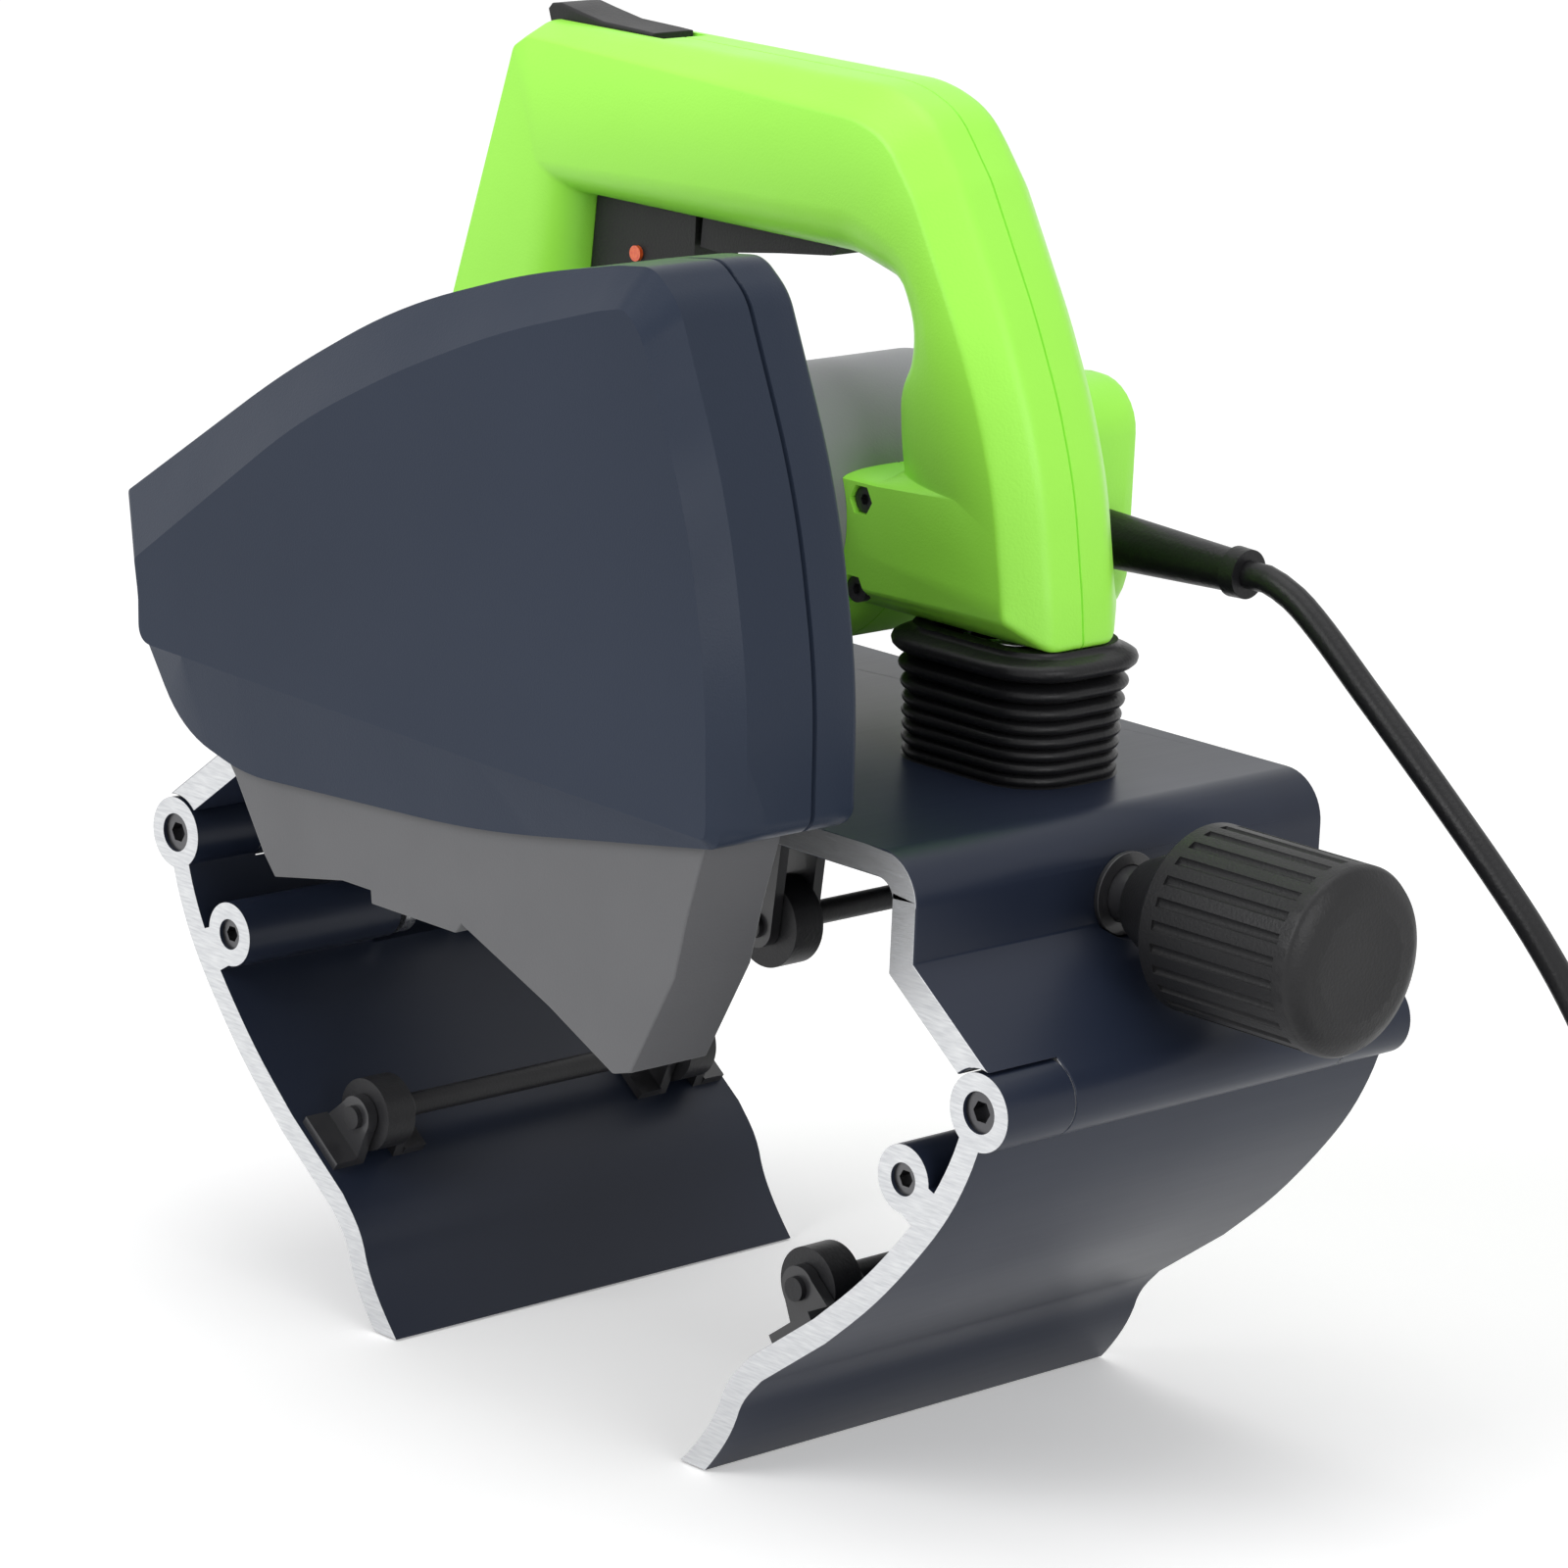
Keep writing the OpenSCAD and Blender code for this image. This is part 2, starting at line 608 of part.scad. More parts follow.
// Bellows between the frame and the handle, with the return spring inside

bell_x = 71.5;
bell_y = seam_y + 1.5;
bell_half = [26.5, 20.5];
bell_corner = 15;
bell_h = base_under - frame_top;
fold_h = 4.5;
rib_h = (bell_h - 2 * fold_h) / ribs;
function rounded_ring(grow, z) =
    let (h = bell_half + [grow, grow], r = bell_corner + grow)
    [for (q = [[1, 1, 0], [-1, 1, 90], [-1, -1, 180], [1, -1, 270]], k = [0 : 2])
        [bell_x + q[0] * (h[0] - r) + r * cos(q[2] + 45 * k), bell_y + q[1] * (h[1] - r) + r * sin(q[2] + 45 * k), z]];
bell_steps = concat([[0, 0]],
    [for (i = [0 : ribs - 1]) each [[-rib_depth, (i + 0.08) * rib_h + 0.3], [0.2 * i - 1, (i + 0.6) * rib_h]]],
    [[-rib_depth, ribs * rib_h], [2.5, ribs * rib_h + fold_h], [0.5, bell_h]]);
module bellows() {
    gap = rib_depth + bellows_wall;
    at_tool() color(black) difference() {
        skin(reversed([for (s = bell_steps) rounded_ring(s[0], frame_top + s[1])]));
        skin(reversed([for (z = [frame_top - 1, base_under + 1]) rounded_ring(-gap, z)]));
    }
}
module return_spring() {
    low = frame_top + wire_r + 0.1;
    rise = bell_h - 2 * wire_r - 0.2;
    steps = 8 * spring_turns;
    line = [for (i = [0 : steps])
        [bell_x + spring_r * cos(45 * i), bell_y + spring_r * sin(45 * i), low + rise * i / steps]];
    at_tool() color(steel) skin(tube_rings(line, wire_r, 6, [0, 0, 1]));
}

// Motor and gears

gear_y = [2, 12];
gearbox_wall = 3;
gearbox_floor = 14;
bearing_t = 6;
nose_r = 16;
nose_y = 25;
bearing_r = 12;
small_bearing_r = 9;
rear_bearing_y = motor_y1 + 2;
spindle_rear = 21.5;

// Two round ends, at the motor axis and at the spindle axis, with straight sides between them
module gear_case(y0, y1, r) {
    turn = 90 - spindle_drop_deg;
    along_y(y0, y1) polygon(concat(arc([motor_x, motor_z], r, turn, turn + 180, 36),
        arc([blade_x, blade_z], r, turn - 180, turn, 36)));
}
lock_dir = [sin(spindle_drop_deg), 0, cos(spindle_drop_deg)];
module at_lock() {
    translate([blade_x, (gear_y[0] + gear_y[1]) / 2, blade_z]) rotate([0, spindle_drop_deg, 0]) children();
}
lock_pin_r = 1.2;
lock_r = 5;
lock_collar = 3;
guard_bolt_at = [[motor_x - 16, motor_z + 24], [motor_x - 25, motor_z - 12], [blade_x + 29, blade_z - 8]];

module gear_housing() {
    at_tool() color(dark_grey) difference() {
        union() {
            gear_case(-guard_back, motor_y0, gearbox_r);
            rod_y(blade_x, blade_z, -nose_y, 0, nose_r);
            at_lock() cylinder(h = gearbox_r + lock_collar, r = lock_r + 2, $fn = 48);
        }
        gear_case(gearbox_wall - guard_back, gearbox_floor, gearbox_r - gearbox_wall);
        rod_y(blade_x, blade_z, -nose_y - 1, bearing_r - nose_y, bearing_r);
        rod_y(blade_x, blade_z, -nose_y, 0, spindle_r + 1);
        rod_y(blade_x, blade_z, gearbox_floor - 1, spindle_rear + 1, bearing_r);
        rod_y(motor_x, motor_z, gearbox_floor - 1, motor_y0 + 1, small_bearing_r);
        at_lock() cylinder(h = gearbox_r + lock_collar + 1, r = lock_r + fit, $fn = 48);
        for (p = guard_bolt_at) rod_y(p[0], p[1], -guard_back - 1, 2 - guard_back, 2);
    }
}
module motor_housing() {
    at_tool() color(dark_grey) difference() {
        rod_y(motor_x, motor_z, motor_y0, motor_y1, motor_r, 96);
        rod_y(motor_x, motor_z, motor_y0 - 1, motor_y1 + 1, motor_r - motor_wall, 96);
    }
}
core_y = [45, 90];
core_r = 17.5;
module stator() {
    at_tool() color(steel) ring_y(motor_x, motor_z, core_y[0], core_y[1], motor_r - motor_wall, core_r + 0.8);
}
brush_y = [97, 107];
brush_r = 11;
module brush_holders() {
    reach = motor_r - motor_wall;
    at_tool() color("darkgoldenrod") intersection() {
        for (s = [-1, 1]) translate([motor_x, 0, motor_z]) scale([s, 1, 1])
            box([brush_r + air, brush_y[0] + 1, -4], [reach + 1, brush_y[1] - 1, 4]);
        rod_y(motor_x, motor_z, brush_y[0], brush_y[1], reach);
    }
}
module bearings() {
    at_tool() color(steel) {
        ring_y(blade_x, blade_z, -nose_y, bearing_r - nose_y, bearing_r, spindle_r + fit);
        ring_y(blade_x, blade_z, gearbox_floor + 1, gearbox_floor + 1 + bearing_t, bearing_r, spindle_r + fit);
        ring_y(motor_x, motor_z, gearbox_floor + 2, gearbox_floor + 2 + bearing_t, small_bearing_r, shaft_r + fit);
        ring_y(motor_x, motor_z, rear_bearing_y, rear_bearing_y + bearing_t, small_bearing_r, shaft_r + fit);
    }
}

// A gear with straight-sided teeth, as an outline round the origin
function gear_outline(teeth) =
    let (r = gear_mod * teeth / 2, step = 360 / teeth, root = r - 0.9 * gear_mod, tip = r + 0.4 * gear_mod)
    [for (i = [0 : teeth - 1], q = [[root, -0.24], [tip, -0.12], [tip, 0.12], [root, 0.24]])
        q[0] * [cos(step * (i + q[1])), sin(step * (i + q[1]))]];
module gear_at(x, z, teeth, turn) {
    translate([x, 0, z]) rotate([0, turn, 0]) along_y(gear_y[0], gear_y[1]) polygon(gear_outline(teeth));
}
module armature_shaft() {
    at_tool() color(steel) union() {
        rod_y(motor_x, motor_z, 0, rear_bearing_y + bearing_t + 2, shaft_r);
        gear_at(motor_x, motor_z, pinion_teeth, spindle_drop_deg);
    }
}
module armature_core() {
    at_tool() color(steel) ring_y(motor_x, motor_z, core_y[0], core_y[1], core_r, shaft_r);
}
module commutator() {
    at_tool() color("peru") ring_y(motor_x, motor_z, brush_y[0], brush_y[1], brush_r, shaft_r);
}
fan_y = [28, 36];
fan_r = 26;
module fan() {
    at_tool() color(black) difference() {
        union() {
            rod_y(motor_x, motor_z, fan_y[0], fan_y[1], shaft_r + 4);
            rod_y(motor_x, motor_z, fan_y[1] - 1.5, fan_y[1], fan_r);
            for (i = [0 : 11]) translate([motor_x, 0, motor_z]) rotate([0, 30 * i, 0])
                box([shaft_r + 2, fan_y[0], -0.8], [fan_r - 1, fan_y[1], 0.8]);
        }
        rod_y(motor_x, motor_z, fan_y[0] - 1, fan_y[1] + 1, shaft_r);
    }
}

// Blade spindle

blade_back = blade_y + blade_t;
flange_t = 5;
outer_flange_t = 3;
bolt_r = 4;
bolt_depth = 14;
module output_spindle() {
    at_tool() color(steel) difference() {
        rod_y(blade_x, blade_z, blade_back, spindle_rear, spindle_r);
        rod_y(blade_x, blade_z, blade_back - 1, blade_back + bolt_depth, bolt_r);
    }
}
module spindle_gear() {
    tooth_step = 360 / gear_teeth;
    at_tool() color(steel) difference() {
        gear_at(blade_x, blade_z, gear_teeth, spindle_drop_deg + tooth_step / 2);
        rod_y(blade_x, blade_z, gear_y[0] - 1, gear_y[1] + 1, spindle_r);
    }
}
module inner_flange() {
    at_tool() color(steel) difference() {
        union() {
            rod_y(blade_x, blade_z, blade_back, blade_back + flange_t, flange_r);
            rod_y(blade_x, blade_z, blade_y, blade_back, blade_bore_r - fit);
        }
        rod_y(blade_x, blade_z, blade_back, blade_back + flange_t + 1, spindle_r);
        rod_y(blade_x, blade_z, blade_y - 1, blade_back + 1, bolt_r);
    }
}
module saw_blade() {
    step = 360 / blade_teeth;
    edge = [for (i = [0 : blade_teeth - 1], q = [[blade_r - 3, 0.05], [blade_r, 0.1], [blade_r - 0.6, 0.4], [blade_r - 3, 0.75]])
        q[0] * [cos(step * (i + q[1])), sin(step * (i + q[1]))]];
    at_tool() color("gainsboro") difference() {
        translate([blade_x, 0, blade_z]) along_y(blade_y, blade_back) polygon(edge);
        rod_y(blade_x, blade_z, blade_y - 1, blade_back + 1, blade_bore_r);
    }
}
module outer_flange() {
    at_tool() color(steel) ring_y(blade_x, blade_z, blade_y - outer_flange_t, blade_y, flange_r, bolt_r);
}
module blade_bolt() {
    head = blade_y - outer_flange_t;
    at_tool() color(black) difference() {
        union() {
            rod_y(blade_x, blade_z, head, blade_back + bolt_depth, bolt_r);
            rod_y(blade_x, blade_z, head - 5.5, head, bolt_r + 3.5);
        }
        rod_y(blade_x, blade_z, head - 6, head - 2.5, 3, 6);
    }
}

// Fixed guard: corners of its outline at full depth, and of the smaller outline of its front face

guard_corners = [[107, 60], [110, 63], [109, 95], [100, 137], [81, 180], [72, 187], [60, 185.5], [30, 179], [-16, 164],
    [-58, 141], [-118, 101], [-112, 81], [-109, 80], [-103, 69], [-87, 47], [-62, 41], [25, 46]];
face_corners = [[105.7, 62.4], [106.3, 65], [104.6, 96], [96.5, 134], [78.5, 173], [73, 178.5], [64, 176.5], [30, 166],
    [-5.5, 151], [-41, 133], [-103.5, 87.5], [-102, 80.5], [-101.5, 77.5], [-101, 67], [-84, 66.6], [-62, 66], [25, 64]];
// Which corners belong to the lower band, where the face leans in over its own short depth
guard_band = [1, 0.5, 0, 0, 0, 0, 0, 0, 0, 0, 0, 0, 0, 0, 1, 1, 1];
band_depth = 3;
band_wall = 1.6;
band_share = band_depth / guard_bevel;
band_corners = [for (i = [0 : len(guard_corners) - 1])
    let (t = max(guard_band[i], band_share)) face_corners[i] * (1 - t) + guard_corners[i] * t];
// The corners at the lower right and at the notch on the left stay crisp
guard_crisp = [for (i = [0 : len(guard_corners) - 1]) i < 2 || (i > 9 && i < 13)];
guard_edge = softened(guard_corners, guard_crisp);
guard_face = softened(face_corners, guard_crisp);
guard_band_ring = softened(band_corners, guard_crisp);
guard_open = [[-91, 20], [104.6, 20], [104.6, 67], [60, 70], [-60, 70], [-91, 68]];
band_back = -guard_front + band_depth + band_wall;
skirt_front = band_back + skirt_gap;
skirt_back = skirt_front + skirt_depth;
post_at = [-92, 88];
guard_post_r = 4.5;
guard_posts = [[70, 168], [-40, 128]];
rear_inset = 2;

module guard_hollow(y1) {
    skin([at_y(inset(guard_face, guard_wall), guard_wall - guard_front),
        at_y(inset(guard_edge, guard_wall), guard_wall - guard_front + guard_bevel),
        at_y(inset(guard_edge, guard_wall), y1)]);
}
module guard_cover() {
    at_tool() color(navy) difference() {
        union() {
            difference() {
                skin([at_y(guard_face, -guard_front), at_y(guard_band_ring, band_depth - guard_front),
                    at_y(guard_edge, guard_bevel - guard_front), at_y(guard_edge, -guard_seam)]);
                guard_hollow(1 - guard_seam);
                along_y(band_back, 1 - guard_seam) polygon(guard_open);
            }
            for (p = guard_posts) rod_y(p[0], p[1], 1 - guard_front, -guard_seam, guard_post_r);
            rod_y(post_at[0], post_at[1], 2.5 - guard_front, -guard_seam, post_r);
        }
        for (p = concat(guard_posts, [post_at])) rod_y(p[0], p[1], -guard_seam - 12, 1 - guard_seam, 2);
    }
}
module guard_shell() {
    back_wall = -guard_back - guard_wall;
    at_tool() color(navy) difference() {
        union() {
            difference() {
                skin([at_y(guard_edge, -guard_seam), at_y(guard_edge, back_wall),
                    at_y(inset(guard_edge, rear_inset), -guard_back)]);
                skin([at_y(inset(guard_edge, guard_wall), -guard_seam - 1),
                    at_y(inset(guard_edge, guard_wall), back_wall)]);
                along_y(-guard_seam - 1, back_wall) polygon(guard_open);
            }
            for (p = guard_posts) rod_y(p[0], p[1], -guard_seam, -guard_back, guard_post_r);
            rod_y(post_at[0], post_at[1], -guard_seam, -guard_back, post_r);
        }
        rod_y(blade_x, blade_z, -guard_seam, 0, nose_r);
        for (p = concat(guard_posts, [post_at], guard_bolt_at)) rod_y(p[0], p[1], -guard_seam - 1, 0, 2);
    }
}
module guard_screws() {
    head_t = 2.5;
    at_tool() color(black) union() {
        for (p = concat(guard_posts, [post_at])) {
            rod_y(p[0], p[1], -guard_seam - 12, -guard_back, 2);
            rod_y(p[0], p[1], -guard_back, head_t - guard_back, 4);
        }
        for (p = guard_bolt_at) {
            rod_y(p[0], p[1], -guard_back - guard_wall, 2 - guard_back, 2);
            rod_y(p[0], p[1], -guard_back - guard_wall - head_t, -guard_back - guard_wall, 4);
        }
    }
}

// Lower guard: two plates with a rim, open at the top and slotted for the blade

skirt_edge = concat([[-68, 38.7], [-56.6, 22], [-52, 17], [-26.4, 21.9], [-15.7, 21.9], [-15.2, 18.8], [16, 18.8],
    [18, 21.4], [50, 9], [73, -1.7], [79, 0], [92.5, 25.8], [96, 41.4], [101, 59], [94, 60], [60, 52], [-40, 52],
    [-74, 68]], arc(post_at, 8, -20, 200, 6), [[-97, 74], [-85, 58]]);
skirt_inner = [[-65, 39], [-54.5, 24], [-51, 20], [-26, 24.8], [-13, 24.8], [-12.6, 21.6], [13.5, 21.6],
    [15.5, 25], [51, 11.8], [73, 1.4], [77.5, 2.2], [89.8, 26.6], [93.6, 42], [98.8, 58.5], [98.8, 70], [60, 80],
    [-52, 80]];
slot_x = [-49, 78];
module lower_guard() {
    slot_y = [(blade_y + blade_back - skirt_slot) / 2, (blade_y + blade_back + skirt_slot) / 2];
    at_tool() color(mid_grey) difference() {
        along_y(skirt_front, skirt_back) polygon(skirt_edge);
        along_y(skirt_front + skirt_wall, skirt_back - skirt_wall) polygon(skirt_inner);
        box([slot_x[0], slot_y[0], -10], [slot_x[1], slot_y[1], 60]);
        rod_y(post_at[0], post_at[1], skirt_front - 1, skirt_back + 1, post_r + fit);
    }
}

// Handle: the silhouette and its opening, rounded towards the sides, in two halves

handle_edge = [[96, base_under], [94.5, 100], [90, 126], [83, 146], [74, 165], [57, 195], [45, bar_top - 5],
    [31, bar_top], [-92, bar_top], [-98, bar_top - 5], [-118, 145], [-125, base_top], [-132, base_under + 8],
    [-131, base_under]];
handle_edge_round = [0.35, 0.8, 1, 1, 1, 1, 1, 1, 0.8, 0.35, 0.3, 0.3, 0.3, 0.2];
function hole_z(k) = base_top + k * (bar_under - base_top);
handle_hole = [[-79, base_top], [41, base_top], [39.5, hole_z(0.17)], [39, hole_z(0.4)], [44.5, hole_z(0.56)],
    [45.5, hole_z(0.72)], [42, hole_z(0.91)], [22, bar_under], [-75, bar_under]];
handle_hole_round = [0.1, 0.3, 0.8, 1, 1, 1, 1, 1, 0.6];
grip_steps = [[0, 1], [0.12, 0.5], [0.35, 0.16], [0.62, 0], [1, 0]];
handle_front_y = seam_y - grip_half;
screw_at = [[37.5, 115.5], [36, 93], [-60, 106], [-112, 104]];
screw_head_r = 4;
boss_wall = 2.5;
recess = 4;
slot_z = bar_under + shell_wall + 1;
trigger_w = 6.7;
trigger_x = [-36.8, 17];
slider_x = [-97, -57];
slider_w = 7;
slider_travel = 4;

module handle_skin(edge, hole, d, y1) {
    difference() {
        skin([for (s = grip_steps) at_y(inset(edge, d + s[1] * grip_round, handle_edge_round_from(d, s[1])),
            handle_front_y + d + s[0] * (y1 - handle_front_y - d))]);
        skin([for (s = grip_steps) at_y(inset(hole, -d - s[1] * grip_round, handle_hole_round_from(d, s[1])),
            handle_front_y + d - (s[0] == 0 ? 0.01 : 0) + s[0] * (y1 - handle_front_y - d + 0.01))]);
    }
}
// Share of the inset that each corner gets: the full wall, and its own part of the rounding
function shares(list, d, s) = [for (k = list) (d + s * grip_round * k) / max(d + s * grip_round, 0.001)];
function handle_edge_round_from(d, s) = shares(handle_edge_round, d, s);
function handle_hole_round_from(d, s) = shares(handle_hole_round, d, s);

module handle_half() {
    barrel = motor_r + shell_wall + 0.5;
    difference() {
        union() {
            difference() {
                handle_skin(handle_edge, handle_hole, 0, seam_y);
                difference() {
                    handle_skin(handle_edge, handle_hole, shell_wall, seam_y + 1);
                    for (p = screw_at) rod_y(p[0], p[1], handle_front_y, seam_y, screw_head_r + boss_wall);
                }
            }
            intersection() {
                rod_y(motor_x, motor_z, handle_front_y, seam_y, barrel);
                box([motor_x - 50, handle_front_y, motor_z - 50], [motor_x + 50, seam_y, base_top]);
            }
        }
        rod_y(motor_x, motor_z, handle_front_y - 1, seam_y + 1, motor_r);
        for (p = screw_at) rod_y(p[0], p[1], handle_front_y - 1, seam_y + 1, 1.8);
        box([trigger_x[0] - 1, seam_y - trigger_w - air, bar_under - 2], [trigger_x[1] + 1, seam_y + 1, slot_z]);
        box([slider_x[0] - 3, seam_y - slider_w - air, bar_top - 2.2],
            [slider_x[1] + slider_travel + air, seam_y + 1, bar_top + 5]);
    }
}
module handle_front() {
    at_tool() color(lime) difference() {
        handle_half();
        for (p = screw_at) rod_y(p[0], p[1], handle_front_y - 1, handle_front_y + recess, screw_head_r, 6);
    }
}
module handle_rear() {
    at_tool() color(lime) translate([0, 2 * seam_y, 0]) mirror([0, 1, 0]) handle_half();
}
module handle_screws() {
    at_tool() color(black) for (p = screw_at) difference() {
        union() {
            rod_y(p[0], p[1], handle_front_y + recess, seam_y + grip_half - 4, 1.8);
            rod_y(p[0], p[1], handle_front_y + recess - 2.5, handle_front_y + recess, screw_head_r - 0.7);
        }
        rod_y(p[0], p[1], handle_front_y, handle_front_y + recess - 1, 1.5, 6);
    }
}

// Switch parts

// The block fills the corner between the rear leg and the bar, so its back follows the leg
block_end = -38;
block_y = seam_y - 7.5;
block_z = [bar_under - 22.5, bar_under];
leg_lean = (handle_hole[8][0] - handle_hole[0][0]) / (bar_under - base_top);
function leg_x(z) = handle_hole[0][0] + leg_lean * (z - base_top) + 0.1;
lamp_at = [-59, bar_under - 12.5];
module switch_block() {
    at_tool() color(black) difference() {
        along_y(block_y, 2 * seam_y - block_y) polygon([[leg_x(block_z[0]), block_z[0]], [block_end - 14, block_z[0] + 1],
            [block_end, block_z[0] + 8], [block_end, block_z[1]], [leg_x(block_z[1]), block_z[1]]]);
        rod_y(lamp_at[0], lamp_at[1], block_y - 1, block_y + 3, 2);
    }
}
module indicator_lamp() {
    at_tool() color("orangered") rod_y(lamp_at[0], lamp_at[1], block_y - 1, block_y + 3, 2);
}
trigger_pivot = [13, bar_under + 4.5];
trigger_side = [[0, -7.5], [6.8, -7.9], [28.8, -4.7], [46.8, -2.5], [51, 1.2], [51, 7.8], [12.8, 9.5], [1, 7.5]];
module trigger() {
    at_tool() color(black) union() {
        along_y(seam_y - trigger_w, seam_y + trigger_w)
            polygon([for (p = trigger_side) [trigger_x[0], bar_under] + p]);
        rod_y(trigger_pivot[0], trigger_pivot[1], seam_y - trigger_w, seam_y + trigger_w, 4);
    }
}
module switch_module() {
    at_tool() color(dark_grey) box([-70, seam_y - 5.5, bar_under + shell_wall], [-41, seam_y + 5.5, bar_top - 10]);
}
module lock_slider() {
    z0 = bar_top - 2;
    at_tool() color(black) along_y(seam_y - slider_w, seam_y + slider_w)
        polygon([[slider_x[0] + 1.5, z0], [slider_x[1], z0], [slider_x[1], bar_top + 0.8], [-62, bar_top + 1],
            [-76, bar_top + 1.3], [-86, bar_top + 2.9], [-92, slider_top], [slider_x[0] + 1.5, slider_top - 0.4],
            [slider_x[0], slider_top - 2]]);
}
module spindle_lock_button() {
    at_tool() color(black) at_lock() union() {
        translate([0, 0, 30]) cylinder(h = 6, r = lock_pin_r, $fn = 32);
        translate([0, 0, 34]) cylinder(h = gearbox_r + lock_collar + 4 - 34, r = lock_r, $fn = 48);
    }
}

// Rear cap and lead outlet

relief_y = 128;
relief_z = 102;
relief_bead = 4.5;
cap_round = 3;
cap_edge = concat(arc([cap_right - 18, cap_under + 18], 18, -90, 0, 8), arc([cap_right - 14, cap_top - 14], 14, 0, 90, 8),
    arc([cap_left + 20, cap_top - 8 - 20], 20, 90, 180, 8), arc([cap_left + 24, cap_under + 24], 24, 180, 270, 8));
vents = 6;
module rear_cap() {
    boss_r0 = small_bearing_r + 3;
    at_tool() color(lime) difference() {
        union() {
            difference() {
                skin([at_y(cap_edge, motor_y1), at_y(cap_edge, cap_back - cap_round - 2),
                    at_y(inset(cap_edge, cap_round * 0.35), cap_back - cap_round * 0.45),
                    at_y(inset(cap_edge, cap_round * 1.6), cap_back)]);
                skin([at_y(inset(cap_edge, shell_wall), motor_y1 + shell_wall),
                    at_y(inset(cap_edge, shell_wall), cap_back - shell_wall)]);
            }
            rod_y(motor_x, motor_z, motor_y1, cap_back - 1, boss_r0);
        }
        rod_y(motor_x, motor_z, motor_y1 - 1, rear_bearing_y + bearing_t, small_bearing_r);
        rod_y(motor_x, motor_z, motor_y1, rear_bearing_y + bearing_t + 3, shaft_r + 1);
        rod_x(relief_y, relief_z, cap_right - 5, cap_right + 1, relief_r);
        for (a = [0 : vents - 1], s = [-1, 1]) translate([motor_x + s * 18, 0, motor_z + (a - 2.5) * 5])
            box([-6 , cap_back - 6, -1.1], [6, cap_back + 1, 1.1]);
    }
}
module strain_relief() {
    wall = shell_wall;
    at_tool() color(black) translate([cap_right, relief_y, relief_z]) rotate([0, 90, 0]) rotate_extrude($fn = 48)
        polygon([[0, -wall - 2.5], [relief_r + 1.8, -wall - 2.5], [relief_r + 1.8, -wall - air], [relief_r, -wall - air],
            [relief_r, 0], [relief_r + 0.6, 0.3], [relief_r - 1.4, relief_len - relief_bead],
            [relief_r - 0.3, relief_len - relief_bead], [relief_r - 0.5, relief_len], [0, relief_len]]);
}

// Mains lead: points of the free stretch chosen by hand, then a round coil and the plug

cord_r = cord_d / 2;
cord_low = floor_z + cord_r;
coil_out = coil_in + coil_pitch * coil_turns / 2;
coil_at = [340, relief_y - coil_out];
cord_start = [cap_right + relief_len, relief_y, relief_z];
cord_end = [coil_at[0] - cord_d, relief_y, cord_low];
cord_points = concat([cord_start],
    [for (q = [[111, 102], [120, 99], [130, 92.5], [144, 81.5], [160, 69], [175, 57], [189, 45.5], [202, 34], [214, 21.5],
        [226, 6], [236, -11], [245, -29], [253, -47], [261, -65], [270, -82], [282, -97]]) [q[0], relief_y, q[1]]],
    [[296, relief_y, cord_low + 4.5], [310, relief_y, cord_low + 0.6], [320, relief_y, cord_low], cord_end]);
function coil_point(t) =
    let (half = coil_turns / 2, r = t < half ? coil_out - coil_pitch * t : coil_in + coil_pitch * (t - half),
        climb = min(max((t - half + 0.25) / 0.5, 0), 1), a = 90 - 360 * t)
    [coil_at[0] + r * cos(a), coil_at[1] + r * sin(a), cord_low + coil_pitch * climb];
// Straight tail from the coil to the plug, long enough to lay the plug beside the turns
coil_tail = 40;
coil_steps = 24 * coil_turns;
coil_points = concat([cord_end], [for (i = [0 : coil_steps]) coil_point(i / 24)],
    [coil_point(coil_turns) - [0, coil_tail, 0]]);
coil_gap = min([for (i = [0 : coil_steps - 14], j = [i + 13 : coil_steps])
    norm(coil_point(i / 24) - coil_point(j / 24))]) - cord_d;
echo(coil_gap = coil_gap, lead_length = path_length(cord_points) + path_length(coil_points));
echo(touches_plug = coil_points[len(coil_points) - 1]);

module power_cord() {
    at_tool() color(black) skin(tube_rings(cord_points, cord_r, 12, [0, 1, 0]));
}
module cord_coil() {
    at_tool() color(black) skin(tube_rings(coil_points, cord_r, 6, [0, 0, 1]));
}
plug_len = 36;
plug_boot = 16;
plug_pin_gap = 9.5;
plug_pin_len = 19;
module plug() {
    end = coil_points[len(coil_points) - 1];
    half_h = end[2] - floor_z;
    face = -plug_boot - plug_len;
    at_tool() color(black) translate(end) union() {
        rotate([90, 0, 0]) cylinder(h = plug_boot + 1, r1 = cord_r + 0.8, r2 = 7, $fn = 48);
        box([-6, face, -half_h], [6, -plug_boot, half_h]);
        for (s = [-1, 1]) {
            rod_y(6 * s, 0, face, -plug_boot, half_h);
            rod_y(plug_pin_gap * s, 0, face - plug_pin_len, face, 2.4, 32);
        }
    }
}

gripper_frame();
hinge_pins();
screw_bushings();
frame_wheel_brackets();
unit_hinge_bracket();
unit_hinge_bolts();
unit_hinge_pin();
bellows();
return_spring();
power_cord();
cord_coil();
plug();
clamp_screw();
clamp_knob();
nut_left();
nut_right();
link_left();
link_right();
jaw_left();
jaw_right();
jaw_pin_left();
jaw_pin_right();
jaw_brackets_left();
jaw_brackets_right();
jaw_wheels_left();
jaw_wheels_right();
frame_wheels_left();
frame_wheels_right();
gear_housing();
motor_housing();
stator();
brush_holders();
bearings();
rear_cap();
strain_relief();
handle_front();
handle_rear();
handle_screws();
unit_hinge_lug();
switch_block();
indicator_lamp();
switch_module();
guard_cover();
guard_shell();
guard_screws();
lower_guard();
armature_shaft();
armature_core();
commutator();
fan();
output_spindle();
